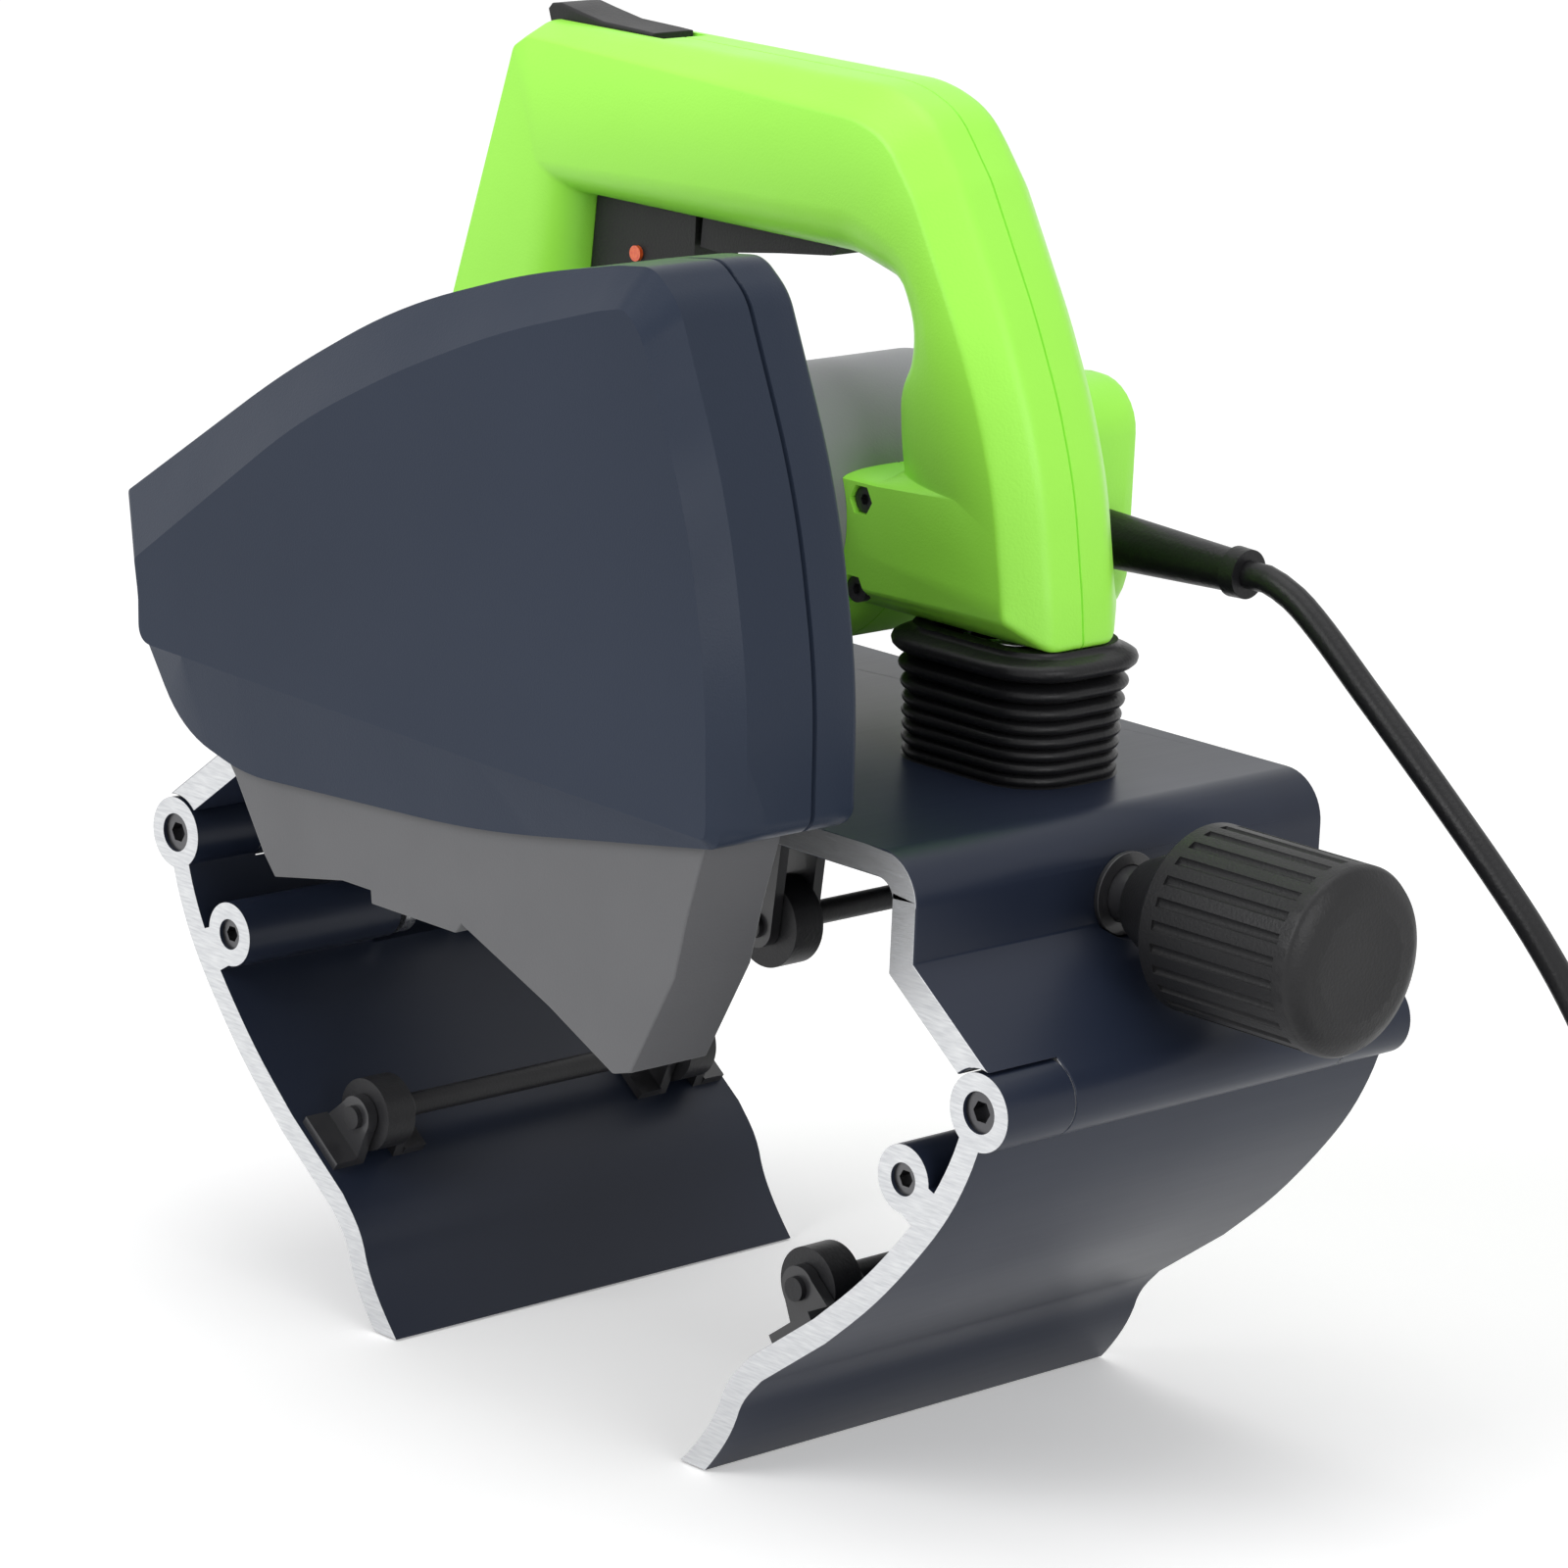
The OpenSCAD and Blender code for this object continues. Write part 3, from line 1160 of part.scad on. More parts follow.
spindle_gear();
inner_flange();
saw_blade();
outer_flange();
blade_bolt();
trigger();
lock_slider();
spindle_lock_button();
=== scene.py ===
# %% [markdown]
# # Electric pipe cutter
#
# The tool is a clamp frame of extruded aluminium with two swinging jaws. A saw unit with a
# lime green D-handle is hinged on top of it, and a rubber bellows hides the spring between them.
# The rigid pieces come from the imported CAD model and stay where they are. Blender gives them
# their finishes, and makes the soft and rounded pieces that CAD only blocks in.

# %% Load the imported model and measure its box
import json, math
import bpy, bmesh
from mathutils import Matrix, Vector


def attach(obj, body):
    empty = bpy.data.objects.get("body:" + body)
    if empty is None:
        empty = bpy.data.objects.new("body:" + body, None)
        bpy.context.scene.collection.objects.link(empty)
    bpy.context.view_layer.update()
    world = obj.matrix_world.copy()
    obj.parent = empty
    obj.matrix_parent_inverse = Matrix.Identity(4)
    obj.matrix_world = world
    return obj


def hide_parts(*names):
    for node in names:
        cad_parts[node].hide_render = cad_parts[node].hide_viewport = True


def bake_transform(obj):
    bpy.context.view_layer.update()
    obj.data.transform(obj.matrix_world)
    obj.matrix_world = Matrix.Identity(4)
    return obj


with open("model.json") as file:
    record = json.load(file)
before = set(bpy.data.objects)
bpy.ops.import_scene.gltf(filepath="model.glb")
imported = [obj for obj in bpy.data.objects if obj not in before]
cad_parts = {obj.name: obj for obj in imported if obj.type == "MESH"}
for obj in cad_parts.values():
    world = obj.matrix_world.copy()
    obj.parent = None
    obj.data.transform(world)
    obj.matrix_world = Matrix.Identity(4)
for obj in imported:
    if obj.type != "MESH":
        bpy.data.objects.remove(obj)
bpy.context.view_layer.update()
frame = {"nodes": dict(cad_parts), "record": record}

nodes = frame["nodes"]

# %% [markdown]
# The CAD source measures in millimetres from a point midway between the two jaw pivots. The
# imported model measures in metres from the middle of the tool's own box. One small function
# changes the first into the second, so every size below can be checked against the source.

# %% From tool millimetres to scene metres
ORIGIN = (21.3, 45.0, -112.5)

def at(x, y, z):
    return Vector(((x - ORIGIN[0]) / 1000, (y - ORIGIN[1]) / 1000, (z - ORIGIN[2]) / 1000))

BLADE_X, BLADE_Y, BLADE_Z = 30.18, -32, 92.89
print("the blade's centre is at", [round(v, 3) for v in at(BLADE_X, BLADE_Y, BLADE_Z)])

# %% [markdown]
# ## Camera
# A long lens far away keeps straight edges nearly parallel, as in a catalogue picture. The
# camera could be aimed by a constraint, but then its roll is a guess. Three directions that were
# fitted to the tool's own straight edges hold the aim and the roll together. The camera stands a
# little above the tool, in front of its right corner.

# %% Camera
LENS, SENSOR, FAR_CLIP = 147.8, 36, 20
RIGHT = Vector((0.6846, 0.7276, 0.0437))
DOWN = Vector((0.2108, -0.1403, -0.9674))
FORWARD = Vector((-0.6977, 0.6715, -0.2494))
STAND = at(1125.9, -1007.4, 436.7)
MIDDLE = at(0, 40, 60)

camera_data = bpy.data.cameras.new("camera")
camera_data.sensor_width = SENSOR
camera_data.lens = LENS
camera_data.clip_end = FAR_CLIP
camera = bpy.data.objects.new("camera", camera_data)
turn = Matrix((RIGHT, -DOWN, -FORWARD)).transposed().to_4x4()
camera.matrix_world = Matrix.Translation(STAND) @ turn
bpy.context.scene.collection.objects.link(camera)
bpy.context.scene.camera = camera
print("camera stands", round((STAND - MIDDLE).length, 2), "m from the tool")

# %% [markdown]
# ## Finishes
# No real surface is one flat colour: tone and gloss drift a little, and a fine grain breaks the
# light. Pictures could be wrapped round the pieces, but noise that is worked out from the place
# on a piece needs no file and shows no seam. Each finish is a small tree of nodes on one
# Principled shader. Numbers that stay the same all over are typed straight into its sockets.

# %% A new finish, and a way to fill a socket
def node_tree(name):
    material = bpy.data.materials.new(name)
    material.use_nodes = True
    tree = material.node_tree
    shader = tree.nodes["Principled BSDF"]
    place = tree.nodes.new("ShaderNodeTexCoord")
    return material, tree, shader, place

def feed(tree, socket, value):
    if isinstance(value, bpy.types.NodeSocket):
        tree.links.new(value, socket)
    elif socket.type == "RGBA":
        socket.default_value = (*value, 1)
    else:
        socket.default_value = value

print("a socket takes a link, a colour or a number")

# %% [markdown]
# A cloudy noise is the pattern behind every finish. Its values crowd round one half, so a Color
# Ramp would need its stops squeezed together. A Map Range takes just the middle band and turns
# it into the wanted numbers, and that is what spread does.

# %% Noise, and numbers from it
def noise(tree, place, scale, detail, stretch=None):
    texture = tree.nodes.new("ShaderNodeTexNoise")
    texture.inputs["Scale"].default_value = scale
    texture.inputs["Detail"].default_value = detail
    source = place.outputs["Object"]
    if stretch:
        mapping = tree.nodes.new("ShaderNodeMapping")
        mapping.inputs["Scale"].default_value = stretch
        tree.links.new(source, mapping.inputs["Vector"])
        source = mapping.outputs["Vector"]
    tree.links.new(source, texture.inputs["Vector"])
    return texture.outputs["Fac"]

def spread(tree, value, low, high, begin=0.3, end=0.7):
    node = tree.nodes.new("ShaderNodeMapRange")
    node.inputs["From Min"].default_value = begin
    node.inputs["From Max"].default_value = end
    node.inputs["To Min"].default_value = low
    node.inputs["To Max"].default_value = high
    tree.links.new(value, node.inputs["Value"])
    return node.outputs["Result"]

print("pattern helpers: noise, spread")

# %% [markdown]
# Two colours are mixed by the noise, a little arithmetic joins masks, and bump tilts the light
# as fine relief would, with no extra geometry. With a helper for each, a finish reads like a
# recipe.

# %% Colour, arithmetic and relief
# Places of the colour sockets of a Mix node, whose names repeat
MIX_FIRST, MIX_SECOND, MIX_COLOUR = 6, 7, 2

def two_colours(tree, factor, first, second):
    node = tree.nodes.new("ShaderNodeMix")
    node.data_type = "RGBA"
    feed(tree, node.inputs["Factor"], factor)
    feed(tree, node.inputs[MIX_FIRST], first)
    feed(tree, node.inputs[MIX_SECOND], second)
    return node.outputs[MIX_COLOUR]

def maths(tree, operation, *values):
    node = tree.nodes.new("ShaderNodeMath")
    node.operation = operation
    for socket, value in zip(node.inputs, values):
        feed(tree, socket, value)
    return node.outputs["Value"]

def add_bump(tree, shader, height, distance):
    bump = tree.nodes.new("ShaderNodeBump")
    bump.inputs["Distance"].default_value = distance
    bump.inputs["Strength"].default_value = 1.0
    tree.links.new(height, bump.inputs["Height"])
    tree.links.new(bump.outputs["Normal"], shader.inputs["Normal"])

print("node helpers: two_colours, maths, add_bump")

# %% [markdown]
# Moulded plastic, rubber and paint have the same build: two close tones mixed by a broad noise,
# a band of roughness, and a fine grain. One recipe with other numbers makes them all. The dark
# ones reflect less than the shader's usual share, or the white studio would wash them out.

# %% Paint, plastic and rubber
DRIFT = 9

def coated(name, tone, darker, rough, grain, depth, specular=0.5, clear_coat=0.0):
    material, tree, shader, place = node_tree(name)
    drift = spread(tree, noise(tree, place, DRIFT, detail=4), 0, 1)
    tree.links.new(two_colours(tree, drift, tone, darker), shader.inputs["Base Color"])
    gloss = spread(tree, noise(tree, place, 4 * DRIFT, detail=5), *rough)
    tree.links.new(gloss, shader.inputs["Roughness"])
    shader.inputs["Coat Weight"].default_value = clear_coat
    shader.inputs["Specular IOR Level"].default_value = specular
    add_bump(tree, shader, noise(tree, place, grain, detail=2), depth)
    return material

# Tone, darker tone, band of roughness, scale of the grain, its depth in metres, specular, clear coat
COATS = {
    "lime_plastic": ((0.385, 0.95, 0.085), (0.355, 0.91, 0.072), (0.34, 0.44), 1400, 0.00006),
    "guard_paint": ((0.024, 0.033, 0.055), (0.020, 0.028, 0.047), (0.30, 0.40), 1800, 0.00004, 0.15),
    "grey_paint": ((0.105, 0.106, 0.112), (0.088, 0.089, 0.094), (0.42, 0.54), 1600, 0.00005),
    "motor_grey": ((0.245, 0.235, 0.275), (0.220, 0.211, 0.248), (0.34, 0.44), 1500, 0.00005),
    "black_plastic": ((0.014, 0.014, 0.015), (0.010, 0.010, 0.011), (0.38, 0.52), 1300, 0.00010, 0.28),
    "black_rubber": ((0.011, 0.011, 0.012), (0.008, 0.008, 0.009), (0.32, 0.46), 900, 0.00010, 0.25),
    "wheel_plastic": ((0.022, 0.022, 0.024), (0.016, 0.016, 0.018), (0.38, 0.50), 1200, 0.00008, 0.3),
    "black_steel": ((0.030, 0.030, 0.033), (0.020, 0.020, 0.022), (0.30, 0.45), 2200, 0.00003, 0.5, 0.2),
}
finishes = {name: coated(name, *recipe) for name, recipe in COATS.items()}
print("coated finishes:", ", ".join(finishes))

# %% [markdown]
# Bare metal is fully metallic. Turned and ground pieces carry fine lines. An image of scratches
# would need unwrapped meshes, so the lines are a noise that is finer along some axes than along
# the others. Cast aluminium has no direction, only a coarse skin.

# %% Bare metals
def metal(name, tone, darker, rough, finer, scale=60, depth=0.00003):
    material, tree, shader, place = node_tree(name)
    lines = noise(tree, place, scale, detail=6, stretch=finer)
    drift = spread(tree, noise(tree, place, scale=14, detail=4), 0, 1)
    tree.links.new(two_colours(tree, drift, tone, darker), shader.inputs["Base Color"])
    tree.links.new(spread(tree, lines, *rough), shader.inputs["Roughness"])
    shader.inputs["Metallic"].default_value = 1.0
    add_bump(tree, shader, lines, depth)
    return material

# Tone, darker tone, band of roughness, how much finer the lines are along x, y and z, scale, depth
METALS = {
    "steel": ((0.62, 0.63, 0.65), (0.48, 0.49, 0.51), (0.20, 0.38), (1, 12, 12)),
    "oiled_steel": ((0.16, 0.16, 0.165), (0.09, 0.09, 0.095), (0.26, 0.42), (1, 12, 12)),
    "blade_steel": ((0.60, 0.61, 0.62), (0.50, 0.50, 0.52), (0.22, 0.40), (30, 1, 3)),
    "cast_aluminium": ((0.34, 0.35, 0.37), (0.27, 0.28, 0.30), (0.42, 0.60), (1, 1, 1), 300, 0.0002),
    "laminations": ((0.36, 0.37, 0.38), (0.25, 0.26, 0.27), (0.35, 0.55), (1, 60, 1)),
    "copper": ((0.75, 0.40, 0.24), (0.58, 0.29, 0.16), (0.20, 0.40), (1, 8, 1)),
    "brush_brass": ((0.72, 0.54, 0.28), (0.60, 0.43, 0.20), (0.25, 0.42), (1, 1, 1)),
}
for name, recipe in METALS.items():
    finishes[name] = metal(name, *recipe)
print("bare metals:", len(METALS))

# %% [markdown]
# The frame and the jaws are cut from one long powder-coated extrusion, so their two end faces
# are bright bare aluminium with saw lines. Two materials on chosen faces would do, but the CAD
# meshes stay untouched, so one shader tells the faces apart by their direction: an end face
# looks along Y, and that stays true when a jaw swings, because it turns about Y.

# %% Coated extrusion with bare ends
def extrusion():
    material, tree, shader, place = node_tree("coated_extrusion")
    facing = tree.nodes.new("ShaderNodeSeparateXYZ")
    tree.links.new(place.outputs["Normal"], facing.inputs["Vector"])
    along_y = maths(tree, "ABSOLUTE", facing.outputs["Y"])
    ends = spread(tree, along_y, 0, 1, begin=0.90, end=0.93)
    broad = noise(tree, place, scale=7, detail=4)
    drawn = noise(tree, place, scale=260, detail=3, stretch=(1, 0.06, 1))
    saw = noise(tree, place, scale=180, detail=4, stretch=(1, 1, 9))
    paint = two_colours(tree, spread(tree, broad, 0, 1), (0.017, 0.023, 0.042), (0.013, 0.018, 0.034))
    bare = two_colours(tree, spread(tree, saw, 0, 1), (0.70, 0.71, 0.72), (0.55, 0.56, 0.58))
    tree.links.new(two_colours(tree, ends, paint, bare), shader.inputs["Base Color"])
    tree.links.new(spread(tree, ends, 0, 0.85, begin=0, end=1), shader.inputs["Metallic"])
    gloss = tree.nodes.new("ShaderNodeMix")
    feed(tree, gloss.inputs["Factor"], ends)
    feed(tree, gloss.inputs["A"], spread(tree, broad, 0.30, 0.40))
    feed(tree, gloss.inputs["B"], spread(tree, saw, 0.32, 0.48))
    tree.links.new(gloss.outputs["Result"], shader.inputs["Roughness"])
    shader.inputs["Specular IOR Level"].default_value = 0.25
    add_bump(tree, shader, drawn, distance=0.00004)
    return material

finishes["anodised_aluminium"] = extrusion()
print("the extrusion's finish is ready")

# %% [markdown]
# The small lamp in the switch block is a clear red-orange lens. Real glass would show the dark
# block behind it, so a bright body colour under a clear coat looks closer at this size.

# %% Lamp lens
def lens():
    material, tree, shader, place = node_tree("lamp_red")
    cloud = noise(tree, place, scale=900, detail=2)
    red = two_colours(tree, spread(tree, cloud, 0, 1), (0.95, 0.16, 0.03), (0.80, 0.08, 0.02))
    tree.links.new(red, shader.inputs["Base Color"])
    tree.links.new(spread(tree, cloud, 0.08, 0.16), shader.inputs["Roughness"])
    shader.inputs["Coat Weight"].default_value = 0.6
    return material

finishes["lamp_red"] = lens()
print("finishes:", len(finishes))

# %% [markdown]
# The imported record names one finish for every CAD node, so a loop hands them out. Some of the
# steel pieces look darker in use: the pins of the jaws are oiled, and the clamp screw and its
# bushings are blackened. They get their finish after the loop.

# %% Finish of each CAD node
for part in frame["record"]["subparts"]:
    for material_slot in nodes[part["node"]].material_slots:
        material_slot.material = finishes[part["material_slot"]]

DARK_STEEL = {"oiled_steel": ("hinge_pins", "jaw_pin_left", "jaw_pin_right"),
              "black_steel": ("clamp_screw", "screw_bushings")}
for finish, names in DARK_STEEL.items():
    for name in names:
        nodes[name].material_slots[0].material = finishes[finish]

# %% [markdown]
# ## Helpers for meshes
# A made piece is an object that holds a mesh and a finish, and it rides on one of the tool's
# moving bodies. Its mesh is shaded smooth, but an edge that bends more than a limit stays crisp.
# A bevel on every edge would do that too, with many more faces.

# %% A piece and its shading
def new_piece(name, mesh, material, body=None):
    piece = bpy.data.objects.new(name, mesh)
    bpy.context.scene.collection.objects.link(piece)
    piece.data.materials.append(material)
    if body:
        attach(piece, body)
    return piece

def smooth(mesh, degrees):
    mesh.shade_smooth()
    mesh.set_sharp_from_angle(angle=math.radians(degrees))

print("piece helpers: new_piece, smooth")

# %% [markdown]
# Most made pieces are skins over rings: a closed outline is repeated along the piece, each time
# a bit larger or smaller. A block with modifiers would be quicker, but quads between
# neighbouring rings follow the piece's own direction, and that shades more smoothly.

# %% Skins over rings
def join_rows(made, rows):
    n = len(rows[0])
    for a, b in zip(rows, rows[1:]):
        for i in range(n):
            made.faces.new((a[i], a[(i + 1) % n], b[(i + 1) % n], b[i]))

def ring_mesh(name, rings, ends=True):
    made = bmesh.new()
    rows = [[made.verts.new(p) for p in ring] for ring in rings]
    join_rows(made, rows)
    if ends:
        made.faces.new(reversed(rows[0]))
        made.faces.new(rows[-1])
    bmesh.ops.recalc_face_normals(made, faces=made.faces)
    mesh = bpy.data.meshes.new(name)
    made.to_mesh(mesh)
    made.free()
    return mesh

print("mesh helpers: join_rows, ring_mesh")

# %% [markdown]
# The lead and the spring wire are round tubes, made as meshes. A curve with a round bevel would
# make the same shape. Each ring stands square to the line. A direction that the line never takes
# keeps the rings from twisting.

# %% A round tube along a line of points
def tube_mesh(name, line, radius, sides, across):
    rings = []
    angles = [2 * math.pi * k / sides for k in range(sides)]
    for i, p in enumerate(line):
        ahead = (line[min(i + 1, len(line) - 1)] - line[max(i - 1, 0)]).normalized()
        u = ahead.cross(across).normalized()
        w = ahead.cross(u)
        rings.append([p + radius * (u * math.cos(a) + w * math.sin(a)) for a in angles])
    mesh = ring_mesh(name, rings)
    smooth(mesh, degrees=50)
    return mesh

def length_of(line):
    return sum((b - a).length for a, b in zip(line, line[1:]))

print("tube helpers: tube_mesh, length_of")

# %% [markdown]
# ## Mains lead
# A drawn line has corners, and a rubber lead has none. It takes the direction at each
# drawn point from the two beside it, and the line passes through every drawn point.

# %% Smooth curve through points
STEP = 0.004

def through(points):
    line = []
    for i in range(len(points) - 1):
        a, b = points[max(i - 1, 0)], points[i]
        c, d = points[i + 1], points[min(i + 2, len(points) - 1)]
        n = max(1, round((c - b).length / STEP))
        for k in range(n):
            t = k / n
            line.append(0.5 * (2 * b + (c - a) * t + (2 * a - 5 * b + 4 * c - d) * t ** 2
                               + (3 * b - a - 3 * c + d) * t ** 3))
    return line + [points[-1]]

print("a point of the lead every", STEP * 1000, "mm")

# %% [markdown]
# The lead leaves the rear cap through a strain relief, arches over the frame and hangs to the
# floor. What a picture of the tool doesn't show is wound into a neat flat coil. The coil spirals
# in, climbs to a second layer in half a turn, and spirals out again. A formula makes its turns,
# because drawn points would never lie so evenly. The plug lies beside it.

# %% Route of the lead
LEAD_D = 7.0
LOW = ORIGIN[2] + LEAD_D / 2
LEAD_Y = 128.0
# Inner radius of the coil, distance from turn to turn, number of turns
COIL_IN, PITCH, TURNS = 28.0, 7.6, 7.25
HALFWAY, CLIMB = TURNS / 2, 0.5
COIL_OUT = COIL_IN + PITCH * HALFWAY
COIL_X, COIL_Y = 340.0, LEAD_Y - COIL_OUT
# Points on a turn, length of the straight tail to the plug in metres, points on it
POINTS_A_TURN, TAIL, TAIL_STEPS = 40, 0.040, 6
HANGING = [(105, 102), (111, 102), (120, 99), (130, 92.5), (144, 81.5), (160, 69), (175, 57), (189, 45.5),
           (202, 34), (214, 21.5), (226, 6), (236, -11), (245, -29), (253, -47), (261, -65), (270, -82),
           (282, -97), (296, LOW + 4.5), (310, LOW + 0.6), (320, LOW), (COIL_X - LEAD_D, LOW)]

def coil_point(t):
    r = COIL_OUT - PITCH * t if t < HALFWAY else COIL_IN + PITCH * (t - HALFWAY)
    climb = min(max((t - HALFWAY + CLIMB / 2) / CLIMB, 0), 1)
    a = math.radians(90 - 360 * t)
    return at(COIL_X + r * math.cos(a), COIL_Y + r * math.sin(a), LOW + PITCH * climb)

route = through([at(x, LEAD_Y, z) for x, z in HANGING])
route += [coil_point(i / POINTS_A_TURN) for i in range(int(POINTS_A_TURN * TURNS) + 1)]
coil_end = coil_point(TURNS)
tail_end = coil_end - Vector((0, TAIL, 0))
route += [coil_end + (tail_end - coil_end) * k / TAIL_STEPS for k in range(1, TAIL_STEPS + 1)]
print("lead:", round(length_of(route), 3), "m in", len(route), "points")

# %% [markdown]
# The lead is one tube in place of the CAD lead and its coil, which are hidden.

# %% Lead
NEVER_TAKEN = Vector((0.02, 0.31, 0.95))

lead_mesh = tube_mesh("mains_lead", route, LEAD_D / 2 / 1000, sides=16, across=NEVER_TAKEN)
lead = new_piece("mains_lead", lead_mesh, finishes["black_rubber"])
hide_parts("power_cord", "cord_coil")
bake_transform(lead)
print("lead skin:", len(lead_mesh.polygons), "faces")

# %% [markdown]
# A soft strap round one side of the coil holds its turns together. A torus would look like wire,
# so the strap is a flat band: a rounded rectangle outside, a smaller one inside, and its two
# edges broken a little.

# %% Coil strap
# Gap to the turns, radius of the corners, thickness, thickness under the coil
STRAP_GAP, STRAP_R, STRAP_THICK, STRAP_UNDER = 1.2, 3.4, 0.8, 0.7
STRAP_Z = (-112.4, -96.8)
STRAP_EDGES = (-5, -4.6, 4.6, 5)
STRAP_STEPS = 6

def rounded_box(low, high, r, steps):
    points = []
    centres = ((high[0] - r, high[1] - r), (low[0] + r, high[1] - r),
               (low[0] + r, low[1] + r), (high[0] - r, low[1] + r))
    for quarter, (x, y) in enumerate(centres):
        for k in range(steps + 1):
            a = math.radians(90 * quarter + 90 * k / steps)
            points.append((x + r * math.cos(a), y + r * math.sin(a)))
    return points

def strap_ring(thick, under, y):
    low = (COIL_X - COIL_OUT - LEAD_D / 2 - STRAP_GAP + thick, STRAP_Z[0] + under)
    high = (COIL_X - COIL_IN + LEAD_D / 2 + STRAP_GAP - thick, STRAP_Z[1] - thick)
    return [at(x, COIL_Y + y, z) for x, z in rounded_box(low, high, STRAP_R - thick, STRAP_STEPS)]

outer = [strap_ring(0, 0, y) for y in STRAP_EDGES]
inner = [strap_ring(STRAP_THICK, STRAP_UNDER, y) for y in reversed(STRAP_EDGES)]
strap_mesh = ring_mesh("coil_strap", outer + inner + outer[:1], ends=False)
smooth(strap_mesh, degrees=40)
strap = new_piece("coil_strap", strap_mesh, finishes["black_plastic"], "frame")
print("strap skin:", len(strap_mesh.polygons), "faces")

# %% [markdown]
# The length of the lead is printed once more.

# %% The facts of the lead
print("declared length:", round(length_of(route), 3), "m")

# %% [markdown]
# The two-pole plug is one CAD solid, but its body is rubber and its pins are plated metal. Its
# mesh may not be divided, so the shader looks at the place along Y: past the plug's face
# everything is a pin.

# %% Plug with plated pins
# Length of the body, of the whole plug and of the change between the finishes, in metres
PLUG_BODY, PLUG_LENGTH, FADE = 0.052, 0.071, 0.0002

def plug_finish():
    material, tree, shader, place = node_tree("plug_body")
    parts = tree.nodes.new("ShaderNodeSeparateXYZ")
    tree.links.new(place.outputs["Object"], parts.inputs["Vector"])
    face = tail_end.y - PLUG_BODY
    pins = spread(tree, parts.outputs["Y"], 1, 0, begin=face - FADE, end=face)
    fine = noise(tree, place, scale=1100, detail=2)
    rubber = two_colours(tree, spread(tree, fine, 0, 1), (0.016, 0.016, 0.017), (0.011, 0.011, 0.012))
    tree.links.new(two_colours(tree, pins, rubber, (0.72, 0.70, 0.64)), shader.inputs["Base Color"])
    tree.links.new(pins, shader.inputs["Metallic"])
    tree.links.new(spread(tree, pins, 0.45, 0.22, begin=0, end=1), shader.inputs["Roughness"])
    add_bump(tree, shader, fine, distance=0.00006)
    return material

nodes["plug"].material_slots[0].material = plug_finish()
print("the plug ends at y =", round(tail_end.y - PLUG_LENGTH, 3))

# %% [markdown]
# ## Bellows
# The real bellows is one thin rubber moulding: a rounded rectangle that folds in and out seven
# times, and the folds grow towards a wide lip under the handle. A cylinder with a wave texture
# would fold evenly, so the folds are listed and each is eight rings of a rounded wave. The
# highlights then run along the ribs.

# %% Outline of the folds
BELL_X, BELL_Y, BELL_LOW, BELL_TOP = 71.5, 82.5, 54.5, 87.5
BELL_HALF_X, BELL_HALF_Y, BELL_R, BELL_STEPS = 26.5, 20.5, 15, 12
FOLD_RINGS, FULLNESS = 8, 0.6
# Height of each fold from the bottom up, how far it stands out, how deep the valley above it is
FOLDS = ([(3.0, -0.9, 2.4)] + 2 * [(3.2, -0.6, 2.3)] + 2 * [(3.4, -0.3, 2.2)]
         + [(4.2, 0.3, 2.6), (5.0, 1.0, 3.2)])
# How far the lip stands out, and its height above the last fold
LIP = [(-2.4, 0.3), (-0.2, 0.8), (1.6, 1.5), (2.7, 2.5), (3.0, 3.6), (2.6, 4.6), (1.2, 5.4), (-1.0, 6.1),
       (-2.2, 6.8)]

def bellows_profile():
    steps = [(-0.6, 0)]
    z = 0.0
    for tall, out, valley in FOLDS:
        for k in range(1, FOLD_RINGS + 1):
            bulge = math.sin(math.pi * k / FOLD_RINGS) ** FULLNESS
            steps.append((-valley + (out + valley) * bulge, z + tall * k / FOLD_RINGS))
        z += tall
    return steps + [(grow, z + up) for grow, up in LIP] + [(LIP[-1][0], BELL_TOP - BELL_LOW)]

profile = bellows_profile()
print("bellows:", len(FOLDS), "folds in", len(profile), "steps")

# %% [markdown]
# Inside, a plain lining gives the rubber its thickness, and a flange closes the top round the
# spring.

# %% Bellows
VALLEY, WALL = 3.2, 1.6
LINING = [(-6.5, 33.0), (-6.5, 31.6), (-VALLEY - WALL, 31.6), (-VALLEY - WALL, 0)]

def rounded_ring(grow, height):
    half_x, half_y = BELL_HALF_X + grow, BELL_HALF_Y + grow
    outline = rounded_box((BELL_X - half_x, BELL_Y - half_y), (BELL_X + half_x, BELL_Y + half_y),
                          BELL_R + grow, BELL_STEPS)
    return [at(x, y, BELL_LOW + height) for x, y in outline]

skin = [rounded_ring(*step) for step in profile]
lining = [rounded_ring(*step) for step in LINING]
bellows_mesh = ring_mesh("bellows_folds", skin + lining + skin[:1], ends=False)
smooth(bellows_mesh, degrees=60)
bellows = new_piece("bellows_folds", bellows_mesh, finishes["black_rubber"])
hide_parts("bellows")
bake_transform(bellows)
print("bellows skin:", len(bellows_mesh.polygons), "faces")

# %% [markdown]
# The return spring inside the bellows lifts the saw unit again. Its wire rises fast in the
# middle turns and hardly in the end turns, which lie flat. A Screw modifier makes an even spring
# only, so the height follows a small formula.

# %% Return spring
# Number of coils, their radius, radius of the wire in metres, steps along it
COILS, COIL_R, WIRE_R, SPRING_STEPS = 6, 12, 0.001, 144
SPRING_FOOT, END_RISE, BODY_RISE = 1.2, 1.0, 28.6

